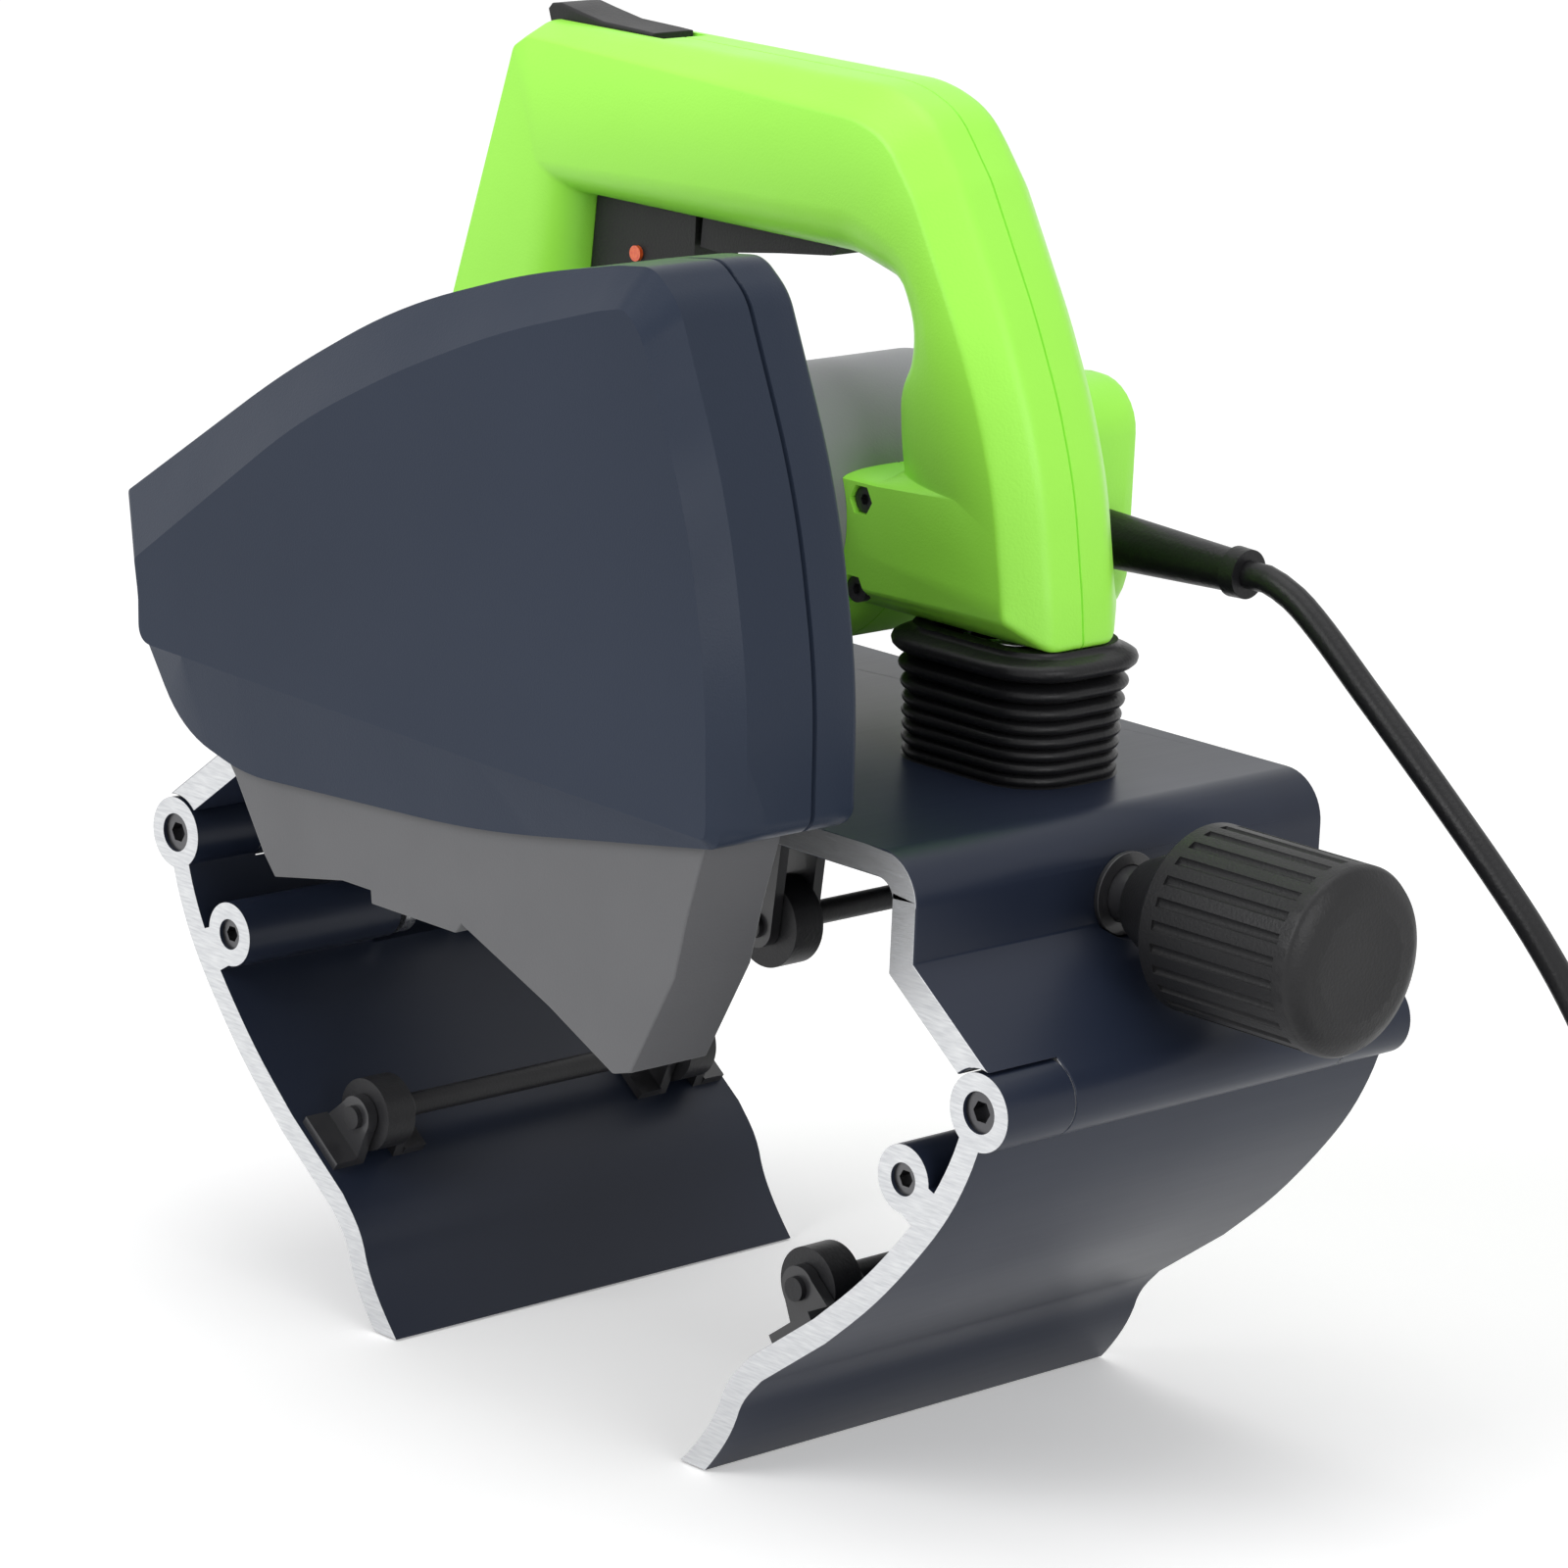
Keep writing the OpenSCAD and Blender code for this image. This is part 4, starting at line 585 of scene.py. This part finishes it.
def spring_point(t):
    end = 1 / COILS
    rise = min(max((t - end) / (1 - 2 * end), 0), 1)
    end_turns = END_RISE * (min(t, end) + max(t - 1 + end, 0)) / end
    height = SPRING_FOOT + end_turns + BODY_RISE * rise
    a = 2 * math.pi * COILS * t
    return at(BELL_X + COIL_R * math.cos(a), BELL_Y + COIL_R * math.sin(a), BELL_LOW + height)

coils = [spring_point(i / SPRING_STEPS) for i in range(SPRING_STEPS + 1)]
spring_mesh = tube_mesh("return_spring_wire", coils, WIRE_R, sides=10, across=Vector((0, 0, 1)))
spring = new_piece("return_spring_wire", spring_mesh, finishes["steel"])
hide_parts("return_spring")
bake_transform(spring)
print("spring wire:", round(length_of(coils), 2), "m")

# %% [markdown]
# ## Handle
# The handle is moulded in two halves that meet on the seam plane. Seen from the side it is a
# D with a straight grip bar. Its edges are rounded generously where a hand holds it and stay
# crisp at the base. A bevel modifier gives every edge the same width, so the outline is repeated
# from one side to the other instead, drawn in near both sides, with a fine groove at the seam.
# Its corners are drawn in first and softened afterwards. The other way round, a tight curve
# would fold over itself.

# %% Outlines: drawing corners in, and softening them
# Share of the edge beside it that a softened corner may take, steps round the corner
MOST_OF_EDGE, CURVE_STEPS = 0.46, 6

def drawn_in(corners, depth):
    out = []
    n = len(corners)
    for i, (p, soft, share) in enumerate(corners):
        u, v = (p - corners[i - 1][0]).normalized(), (corners[(i + 1) % n][0] - p).normalized()
        shift = Vector((-u.y - v.y, u.x + v.x)) / (1 + u.dot(v))
        out.append((p + shift * depth * share, soft, share))
    return out

def softened(corners, pieces=CURVE_STEPS):
    out = []
    n = len(corners)
    for i, (here, soft, _) in enumerate(corners):
        before, after = corners[i - 1][0] - here, corners[(i + 1) % n][0] - here
        bend = math.pi - before.angle(after)
        reach = min(soft * math.tan(bend / 2), MOST_OF_EDGE * before.length, MOST_OF_EDGE * after.length)
        a, b = here + before.normalized() * reach, here + after.normalized() * reach
        for k in range(pieces + 1):
            t = k / pieces
            out.append((1 - t) ** 2 * a + 2 * t * (1 - t) * here + t ** 2 * b)
    return out

print("a corner becomes", CURVE_STEPS + 1, "points")

# %% [markdown]
# The outer edge has one broad chamfer with softened corners, nearly as wide as a finger. The
# opening is different: its edge swells out over the bar and the front leg, and stays square on
# the base, so a ledge is left where the leg grows out of it. Each corner of the opening is
# given twice, on the seam and on the side face, and the rings between them are a mix.

# %% Corners of the handle
# x and z of each corner of the edge, softness of the corner, share of the chamfer
GRIP_EDGE = [(96, 87.5, 2, 0.9), (94.5, 100, 60, 1), (90, 126, 120, 1), (83, 146, 120, 1), (74, 165, 160, 1),
             (57, 195, 26, 1), (45, 210, 22, 1), (31, 215, 40, 1), (-92, 215, 3, 0.45), (-98, 210, 3, 0.35),
             (-118, 145, 60, 0.35), (-125, 121.5, 40, 0.35), (-132, 95.5, 5, 0.3), (-131, 87.5, 3, 0.2)]
# x and z of each corner of the opening, the same corner on the side face, softness
GRIP_HOLE = [(-79, 121.5, -81, 119.5, 1), (41, 121.5, 43, 119.8, 0.5), (40.6, 123, 70, 121.3, 0.5),
             (39.5, 130.2, 66, 131, 60), (39, 141.9, 61, 145, 60), (44.5, 150.1, 58.5, 155, 60),
             (45.5, 158.2, 55, 166, 30), (42, 167.9, 47, 178, 16), (22, 172.5, 30, 185.5, 24),
             (-75, 172.5, -86, 181, 1.5), (-78.6, 124, -91, 121, 1.5)]
# Distance in from the side face, and how far the edge is drawn in there
OUTER_STEPS = [(0, 8.6), (0.25, 7.9), (0.8, 7.2), (1.8, 6.3), (4.6, 3.9), (7.4, 1.5), (8.6, 0.7),
               (9.8, 0.22), (11.5, 0)]
# The same for the opening, as a share of the way to the corner on the side face
INNER_STEPS = [(0, 1), (0.5, 0.83), (1.3, 0.65), (2.6, 0.47), (4.4, 0.31), (6.6, 0.17), (9.2, 0.075),
               (12.2, 0.02), (15.5, 0)]
print("corners of the edge and the opening:", len(GRIP_EDGE), "and", len(GRIP_HOLE))

# %% [markdown]
# Two halves that meet always leave a fine line. Here the middle ring is drawn in a little
# between two full ones, so the seam is a real groove that catches a shadow.

# %% Rings of the handle
SEAM, HALF = 81.0, 19.5
GROOVE, GROOVE_HALF = 0.8, 0.35

def edge_ring(y, depth):
    corners = [(Vector((x, z)), soft, share) for x, z, soft, share in GRIP_EDGE]
    return [at(p.x, y, p.y) for p in softened(drawn_in(corners, depth))]

def hole_ring(y, share, depth=0.0):
    corners = [(Vector((x, z)).lerp(Vector((sx, sz)), share), soft, 1) for x, z, sx, sz, soft in GRIP_HOLE]
    return [at(p.x, y, p.y) for p in softened(drawn_in(corners, -depth))]

def both_sides(ring, steps, groove):
    near = [ring(SEAM - HALF + y, d) for y, d in steps] + [ring(SEAM - GROOVE_HALF, 0)]
    far = [ring(SEAM + GROOVE_HALF, 0)] + [ring(SEAM + HALF - y, d) for y, d in reversed(steps)]
    return near + [groove] + far

outer_rings = both_sides(edge_ring, OUTER_STEPS, edge_ring(SEAM, GROOVE))
inner_rings = both_sides(hole_ring, INNER_STEPS, hole_ring(SEAM, 0, GROOVE))
print("handle edge:", len(outer_rings[0]), "points a ring, opening:", len(inner_rings[0]))

# %% [markdown]
# The rings of the edge and those of the opening become two sleeves, and the flat side faces are
# filled in between their borders. The mesh is cut into triangles before anything is cut out of
# it, because a Boolean handles flat triangles best.

# %% Handle shells
def handle_mesh():
    made = bmesh.new()
    borders = []
    for rings in (outer_rings, inner_rings):
        rows = [[made.verts.new(p) for p in ring] for ring in rings]
        join_rows(made, rows)
        borders.append((rows[0], rows[-1]))
    for side in (0, 1):
        loops = []
        for border in borders:
            row = border[side]
            loops += [made.edges.get((row[i], row[(i + 1) % len(row)])) for i in range(len(row))]
        bmesh.ops.triangle_fill(made, use_beauty=True, use_dissolve=True, edges=loops)
    bmesh.ops.triangulate(made, faces=made.faces)
    bmesh.ops.recalc_face_normals(made, faces=made.faces)
    mesh = bpy.data.meshes.new("handle_shells")
    made.to_mesh(mesh)
    made.free()
    return mesh

handle = new_piece("handle_shells", handle_mesh(), finishes["lime_plastic"])
print("handle skin:", len(handle.data.polygons), "faces")

# %% [markdown]
# The motor barrel, the trigger, the slide switch and the screws pass through the shells. Their
# openings could be modelled into the outline, but a Boolean cut is simpler and stays exact. Each
# opening is cut with a tool body, and the tool bodies are thrown away afterwards.

# %% Tool bodies and the cut
def prism_along_y(name, x, z, r, y0, y1, sides):
    angles = [2 * math.pi * k / sides for k in range(sides)]
    ring = [(x + r * math.cos(a), z + r * math.sin(a)) for a in angles]
    return ring_mesh(name, [[at(px, y, pz) for px, pz in ring] for y in (y0, y1)])

def block(name, low, high):
    ring = [(low[0], low[2]), (high[0], low[2]), (high[0], high[2]), (low[0], high[2])]
    return ring_mesh(name, [[at(px, y, pz) for px, pz in ring] for y in (low[1], high[1])])

def cut(piece, meshes):
    tool = bmesh.new()
    for mesh in meshes:
        tool.from_mesh(mesh)
    joined = bpy.data.meshes.new("cutters")
    tool.to_mesh(joined)
    tool.free()
    cutter = bpy.data.objects.new("cutters", joined)
    bpy.context.scene.collection.objects.link(cutter)
    modifier = piece.modifiers.new("openings", "BOOLEAN")
    modifier.operation = "DIFFERENCE"
    modifier.solver = "EXACT"
    modifier.use_self = True
    modifier.object = cutter
    shape = bpy.data.meshes.new_from_object(piece.evaluated_get(bpy.context.evaluated_depsgraph_get()))
    piece.modifiers.clear()
    piece.data = shape
    bpy.data.objects.remove(cutter)

print("cutting helpers: prism_along_y, block, cut")

# %% [markdown]
# The slot of the trigger is taller than the trigger itself, because the trigger moves up into
# the grip when it is squeezed. The screws sit at the bottom of six-sided recesses.

# %% Openings in the handle
BARREL_X, BARREL_Z, BARREL_R, BARREL_HOLE_Y = 0, 108, 33.1, (55, 107)
TRIGGER_SLOT = ((-38, 73.9, 168), (18.5, 88.1, 187.5))
SLIDER_SLOT = ((-100.2, 73.6, 212.8), (-52.6, 88.4, 222))
SCREWS = [(37.5, 115.5), (36, 93), (-60, 106), (-112, 104)]
RECESS_R, RECESS_Y, RECESS_SIDES = 4, (61, 65.5), 6

cutters = [prism_along_y("barrel_hole", BARREL_X, BARREL_Z, BARREL_R, *BARREL_HOLE_Y, sides=96),
           block("trigger_slot", *TRIGGER_SLOT), block("slider_slot", *SLIDER_SLOT)]
cutters += [prism_along_y("screw_recess", x, z, RECESS_R, *RECESS_Y, RECESS_SIDES) for x, z in SCREWS]
cut(handle, cutters)
smooth(handle.data, degrees=32)
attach(handle, "motor_unit")
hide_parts("handle_front", "handle_rear")
print("handle after cutting:", len(handle.data.polygons), "faces")

# %% [markdown]
# Under the base a curved cradle, moulded in one with the shells, holds the barrel. Seen from the
# side it is a third of a ring, so one cross-section is turned about the barrel's axis, with the
# groove of the seam in its outer face.

# %% Barrel cradle
CRADLE_R, CRADLE_START, CRADLE_SWEEP, CRADLE_STEPS = 36.5, 212, 116, 24
# Radius and y of each point of the cross-section
CRADLE_SECTION = [(BARREL_R, 62.5), (CRADLE_R, 62.5), (CRADLE_R, 80.8), (36.1, SEAM), (CRADLE_R, 81.2),
                  (CRADLE_R, 99.5), (BARREL_R, 99.5)]

def cradle_ring(k):
    a = math.radians(CRADLE_START + CRADLE_SWEEP * k / CRADLE_STEPS)
    return [at(r * math.cos(a), y, BARREL_Z + r * math.sin(a)) for r, y in CRADLE_SECTION]

cradle_mesh = ring_mesh("barrel_cradle", [cradle_ring(k) for k in range(CRADLE_STEPS + 1)])
smooth(cradle_mesh, degrees=30)
cradle = new_piece("barrel_cradle", cradle_mesh, finishes["lime_plastic"], "motor_unit")
print("cradle skin:", len(cradle_mesh.polygons), "faces")

# %% [markdown]
# ## Blade guard
# The fixed guard is two deep die-cast shells that meet at a seam. The front face is smaller than
# the full outline, so a wide bevel runs round it, and its lower band leans in a little behind a
# fine crease. Both outlines are drawn once with as many points, and every ring between them is
# a mix of the two. The lower band reaches the full outline in the first third of the bevel.

# %% Outlines of the guard
FRONT, BEVEL_Y, SEAM_G, BACK, GUARD_WALL = -50.0, -41.0, -20.0, -6.0, 2.2
BAND_SPEED, GUARD_STEPS = 3, 8
# x and z at full depth, x and z on the front face, softness, share of the lower band
GUARD = [(107, 60, 105.7, 62.4, 6, 1), (110, 63, 106.3, 65, 9, 0.5), (109, 95, 104.6, 96, 400, 0),
         (100, 137, 96.5, 134, 400, 0), (81, 180, 78.5, 173, 16, 0), (72, 187, 73, 178.5, 9, 0),
         (60, 185.5, 64, 176.5, 60, 0), (30, 179, 30, 166, 400, 0), (-16, 164, -5.5, 151, 400, 0),
         (-58, 141, -41, 133, 400, 0), (-118, 101, -103.5, 87.5, 1.5, 0), (-112, 81, -102, 80.5, 0.6, 0),
         (-109, 80, -101.5, 77.5, 0.6, 0), (-103, 69, -101, 67, 9, 1), (-87, 47, -84, 66.6, 60, 1),
         (-62, 41, -62, 66, 60, 1), (25, 46, 25, 64, 400, 1)]

def guard_ring(y, depth, inwards=0.0):
    corners = []
    for x, z, fx, fz, soft, band in GUARD:
        t = max(depth, min(1, depth * BAND_SPEED) * band)
        corners.append((Vector((fx, fz)).lerp(Vector((x, z)), t), soft, 1))
    return [at(p.x, y, p.y) for p in softened(drawn_in(corners, inwards), GUARD_STEPS)]

print("guard outline:", len(guard_ring(FRONT, 0)), "points")

# %% [markdown]
# Each shell is an outer skin and a smaller inner skin, with the thickness of the wall between
# them. A Solidify modifier would swell at the sharp corners, so the inner skin is cut out of the
# outer one, and so is the mouth that the lower guard and the blade come out of.

# %% Hollow and mouth of the guard
MOUTH = [(-91, 20), (104.6, 20), (104.6, 67), (60, 70), (-60, 70), (-91, 68)]
MOUTH_FRONT = -45.4

def mouth(y0, y1):
    return ring_mesh("mouth", [[at(x, y, z) for x, z in MOUTH] for y in (y0, y1)])

def hollow(y0, y1, tapers):
    rings = [guard_ring(y0, 0 if tapers else 1, GUARD_WALL)]
    if tapers:
        rings.append(guard_ring(y0 + BEVEL_Y - FRONT, 1, GUARD_WALL))
    return ring_mesh("hollow", rings + [guard_ring(y1, 1, GUARD_WALL)])

print("the mouth is", MOUTH[1][0] - MOUTH[0][0], "mm long")

# %% [markdown]
# The front shell tapers over its bevel. At the seam both shells are drawn in by a millimetre, so
# the joint shows as a line. The rear shell has a rounded back, and a round opening lets the nose
# of the gear housing in.

# %% Guard shells
SEAM_LIP, SEAM_GAP, SEAM_DEPTH = 0.7, 0.25, 1.0
PAST_SEAM = 1
# Plain rings along the deep sides
COVER_SIDES, SHELL_SIDES = (-34, -27), (-14,)
BACK_R, BACK_ANGLES = 2, (0, 0.35, 0.7, 1.05, 1.35)
NOSE_R = 16.1

cover_rings = [guard_ring(FRONT + (BEVEL_Y - FRONT) * t, t) for t in (0, 1 / 3, 2 / 3, 1)]
cover_rings += [guard_ring(y, 1) for y in (*COVER_SIDES, SEAM_G - SEAM_LIP)]
cover_rings.append(guard_ring(SEAM_G - SEAM_GAP, 1, SEAM_DEPTH))
cover = new_piece("guard_cover_skin", ring_mesh("guard_cover_skin", cover_rings), finishes["guard_paint"])
cut(cover, [hollow(FRONT + GUARD_WALL, SEAM_G + PAST_SEAM, tapers=True)])
cut(cover, [mouth(MOUTH_FRONT, SEAM_G + PAST_SEAM)])

shell_rings = [guard_ring(SEAM_G + SEAM_GAP, 1, SEAM_DEPTH)]
shell_rings += [guard_ring(y, 1) for y in (SEAM_G + SEAM_LIP, *SHELL_SIDES)]
shell_rings += [guard_ring(BACK - BACK_R + BACK_R * math.sin(a), 1, BACK_R * (1 - math.cos(a)))
                for a in BACK_ANGLES]
shell = new_piece("guard_shell_skin", ring_mesh("guard_shell_skin", shell_rings), finishes["guard_paint"])
nose = prism_along_y("nose", BLADE_X, BLADE_Z, NOSE_R, SEAM_G, 0, sides=64)
cut(shell, [hollow(SEAM_G - PAST_SEAM, BACK - GUARD_WALL, tapers=False), nose])
cut(shell, [mouth(SEAM_G - PAST_SEAM, BACK - GUARD_WALL)])
print("guard faces:", len(cover.data.polygons), len(shell.data.polygons))

# %% [markdown]
# Paint rounds an edge a little and never leaves it razor sharp, so the cover gets a small bevel.
# The crease round the front face is only a few degrees, too little for an angle to find. Its
# edges are marked sharp by their place: both their ends lie on the front plane.

# %% Creases and soft edges of the guard
ON_PLANE = 2e-5

def crease_front(mesh, y):
    sharp = mesh.attributes["sharp_edge"].data
    marked = 0
    for line in mesh.edges:
        if all(abs(mesh.vertices[v].co.y - y) < ON_PLANE for v in line.vertices):
            sharp[line.index].value = True
            marked += 1
    return marked

def add_bevel(piece, width, degrees, segments):
    modifier = piece.modifiers.new("soft_edges", "BEVEL")
    modifier.width = width / 1000
    modifier.segments = segments
    modifier.limit_method = "ANGLE"
    modifier.angle_limit = math.radians(degrees)
    modifier.harden_normals = True

for piece, node in ((cover, "guard_cover"), (shell, "guard_shell")):
    smooth(piece.data, degrees=24)
    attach(piece, "motor_unit")
    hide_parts(node)
print("edges of the front crease:", crease_front(cover.data, at(0, FRONT, 0).y))
add_bevel(cover, width=0.9, degrees=24, segments=3)

# %% [markdown]
# Three posts inside the shells take the screws that hold them together. The lowest one is also
# the pivot of the lower guard. Each post is a cylinder with a conical foot at both ends, as a
# casting has, and its ends reach a little into the walls.

# %% Posts inside the guard
FOOT, POST_SIDES, SUNK = 1.5, 48, 0.2
POSTS = [("guard_post_top", 70, 168, 4.5), ("guard_post_rear", -40, 128, 4.5),
         ("guard_post_pivot", -92, 88, 5)]

def post_mesh(x, z, r, y0, y1):
    made = bmesh.new()
    angles = [2 * math.pi * k / POST_SIDES for k in range(POST_SIDES)]
    for ra, rb, a, b in ((r, r, y0, y1), (r + FOOT, r, y0, y0 + FOOT), (r, r + FOOT, y1 - FOOT, y1)):
        rings = [[at(x + q * math.cos(t), y, z + q * math.sin(t)) for t in angles]
                 for q, y in ((ra, a), (rb, b))]
        made.from_mesh(ring_mesh("post", rings))
    mesh = bpy.data.meshes.new("guard_posts")
    made.to_mesh(mesh)
    made.free()
    return mesh

for name, x, z, r in POSTS:
    mesh = post_mesh(x, z, r, FRONT + GUARD_WALL - SUNK, BACK - GUARD_WALL + SUNK)
    smooth(mesh, degrees=35)
    post = new_piece(name, mesh, finishes["guard_paint"], "motor_unit")
print("guard posts:", len(POSTS))

# %% [markdown]
# ## Smooth skins on the CAD pieces
# A CAD mesh comes with the flat shading of its facets. The mesh stays as it is, so the shading
# is changed by modifiers. A small geometry node group drops the stored normals, joins the
# facets' corners, and shades every edge smooth that bends less than a limit.

# %% Smooth skin
SAME_PLACE = 0.000002

def smooth_group(degrees):
    group = bpy.data.node_groups.new(f"smooth_skin_{degrees}", "GeometryNodeTree")
    group.interface.new_socket("Geometry", in_out="INPUT", socket_type="NodeSocketGeometry")
    group.interface.new_socket("Geometry", in_out="OUTPUT", socket_type="NodeSocketGeometry")
    start, end = group.nodes.new("NodeGroupInput"), group.nodes.new("NodeGroupOutput")
    drop = group.nodes.new("GeometryNodeRemoveAttribute")
    drop.inputs["Name"].default_value = "custom_normal"
    join = group.nodes.new("GeometryNodeMergeByDistance")
    join.inputs["Distance"].default_value = SAME_PLACE
    faces = group.nodes.new("GeometryNodeSetShadeSmooth")
    lines = group.nodes.new("GeometryNodeSetShadeSmooth")
    lines.domain = "EDGE"
    bend = group.nodes.new("GeometryNodeInputMeshEdgeAngle")
    gentle = group.nodes.new("FunctionNodeCompare")
    gentle.operation = "LESS_THAN"
    gentle.inputs["B"].default_value = math.radians(degrees)
    chain = [start.outputs[0]]
    for node in (drop, join, faces, lines):
        group.links.new(chain[-1], node.inputs["Geometry"])
        chain.append(node.outputs["Geometry"])
    group.links.new(chain[-1], end.inputs[0])
    group.links.new(bend.outputs["Unsigned Angle"], gentle.inputs["A"])
    group.links.new(gentle.outputs["Result"], lines.inputs["Shade Smooth"])
    return group

print("corners closer than", SAME_PLACE * 1e6, "micrometres are joined")

# %% [markdown]
# A bevel then rounds the sharp edges that are left, and the light finds them. Moulded pieces get
# wide soft edges, sawn and turned ones narrow edges, so the widths are listed with the pieces.

# %% Which piece gets which edges
# Width of the bevel in millimetres, angle that counts as an edge, steps of the bevel, nodes
EDGES = [
    (0.45, 30, 2, ["gripper_frame", "jaw_left", "jaw_right"]),
    (0.5, 24, 2, ["lower_guard"]),
    (1.1, 34, 3, ["rear_cap"]),
    (0.6, 30, 3, ["trigger", "lock_slider", "switch_block"]),
    (0.4, 34, 2, ["clamp_knob", "unit_hinge_bracket", "unit_hinge_lug", "strain_relief"]),
    (0.25, 34, 2, ["motor_housing", "gear_housing", "plug", "screw_bushings", "frame_wheels_left",
                   "frame_wheels_right", "jaw_wheels_left", "jaw_wheels_right", "clamp_screw"]),
]
groups = {degrees: smooth_group(degrees) for degrees in (24, 30, 34)}
for width, degrees, segments, names in EDGES:
    for name in names:
        nodes[name].modifiers.new("smooth_skin", "NODES").node_group = groups[degrees]
        add_bevel(nodes[name], width, degrees, segments)
        nodes[name].modifiers.new("flat_faces_first", "WEIGHTED_NORMAL").keep_sharp = True
print("refined CAD nodes:", sum(1 for piece in nodes.values() if len(piece.modifiers)))

# %% [markdown]
# ## Studio
# A catalogue picture stands on pale paper that fades into the background. A curved backdrop
# would do the same, but a flat floor works from every side. It is a large plane, a hair below
# the tool so that the two never flicker.

# %% Floor
FLOOR_HALF, FLOOR_DROP = 12, 0.0005

floor_mesh = bpy.data.meshes.new("floor")
corners = [(x * FLOOR_HALF, y * FLOOR_HALF, 0) for x, y in ((-1, -1), (1, -1), (1, 1), (-1, 1))]
floor_mesh.from_pydata(corners, [], [(0, 1, 2, 3)])
floor = bpy.data.objects.new("floor", floor_mesh)
bpy.context.scene.collection.objects.link(floor)
floor.location.z = -FLOOR_DROP
print("floor:", 2 * FLOOR_HALF, "m square")

# %% [markdown]
# Near the tool the floor is pale paper that takes the shadow. With the distance it turns to an
# even white glow, but only for the rays of the camera and of reflections, so the glow puts no
# light on the tool.

# %% Paper of the floor
FADE_START, FADE_END = 0.45, 1.3
NEAR_GLOW, FAR_GLOW = 0.28, 0.72

def floor_paper():
    material, tree, shader, place = node_tree("floor_paper")
    reach = tree.nodes.new("ShaderNodeVectorMath")
    reach.operation = "LENGTH"
    tree.links.new(place.outputs["Object"], reach.inputs[0])
    rays = tree.nodes.new("ShaderNodeLightPath")
    looked_at = maths(tree, "MAXIMUM", rays.outputs["Is Camera Ray"], rays.outputs["Is Glossy Ray"])
    distance = spread(tree, reach.outputs["Value"], 0, 1, FADE_START, FADE_END)
    away = maths(tree, "MULTIPLY", distance, looked_at)
    paper = two_colours(tree, noise(tree, place, scale=3, detail=3), (0.90, 0.90, 0.90), (0.87, 0.87, 0.87))
    tree.links.new(two_colours(tree, away, paper, (0.0, 0.0, 0.0)), shader.inputs["Base Color"])
    shader.inputs["Roughness"].default_value = 0.9
    shader.inputs["Emission Color"].default_value = (1, 1, 1, 1)
    near = spread(tree, looked_at, 0, NEAR_GLOW, begin=0, end=1)
    tree.links.new(maths(tree, "MULTIPLY_ADD", away, FAR_GLOW, near), shader.inputs["Emission Strength"])
    return material

floor.data.materials.append(floor_paper())
print("the paper fades from", FADE_START, "to", FADE_END, "m")

# %% [markdown]
# The world is white for the camera, for reflections and for light that passes through, and
# dimmer as a lamp. One strength for all would either grey the background or wash out the dark
# paint.

# %% World
DIMMER, WHITE = 0.45, 1.0

world = bpy.data.worlds.new("studio")
bpy.context.scene.world = world
world.use_nodes = True
sky = world.node_tree
background = sky.nodes["Background"]
background.inputs["Color"].default_value = (1, 1, 1, 1)
rays = sky.nodes.new("ShaderNodeLightPath")
seen = rays.outputs["Is Camera Ray"]
for kind in ("Is Glossy Ray", "Is Transmission Ray"):
    seen = maths(sky, "MAXIMUM", seen, rays.outputs[kind])
sky.links.new(spread(sky, seen, DIMMER, WHITE, begin=0, end=1), background.inputs["Strength"])
print("world strength:", DIMMER, "as light,", WHITE, "as seen")

# %% [markdown]
# One large key light stands in front on the left, a weaker fill on the right, and a soft top
# light lifts the grip and the guard's upper edge. Area lamps of more than a metre give shadows
# with soft edges, as the white boxes of a studio do.

# %% Lamps
# Name, place, what it is aimed at, length of its sides, watts
LAMPS = [("key", (-0.5, -1.9, 1.5), (0, 0, 0.15), 1.4, 27),
         ("fill", (2.1, -0.3, 0.9), (0.05, 0, 0.15), 1.2, 14),
         ("top", (0.0, 0.1, 2.0), (0, 0.05, 0.1), 1.6, 13)]

for name, place, aim, side, watts in LAMPS:
    data = bpy.data.lights.new(name, "AREA")
    data.size = side
    data.energy = watts
    light = bpy.data.objects.new(name, data)
    light.location = place
    light.rotation_euler = (Vector(aim) - Vector(place)).to_track_quat("-Z", "Y").to_euler()
    bpy.context.scene.collection.objects.link(light)
bpy.context.scene.view_settings.view_transform = "Standard"
print("lamps:", len(LAMPS))
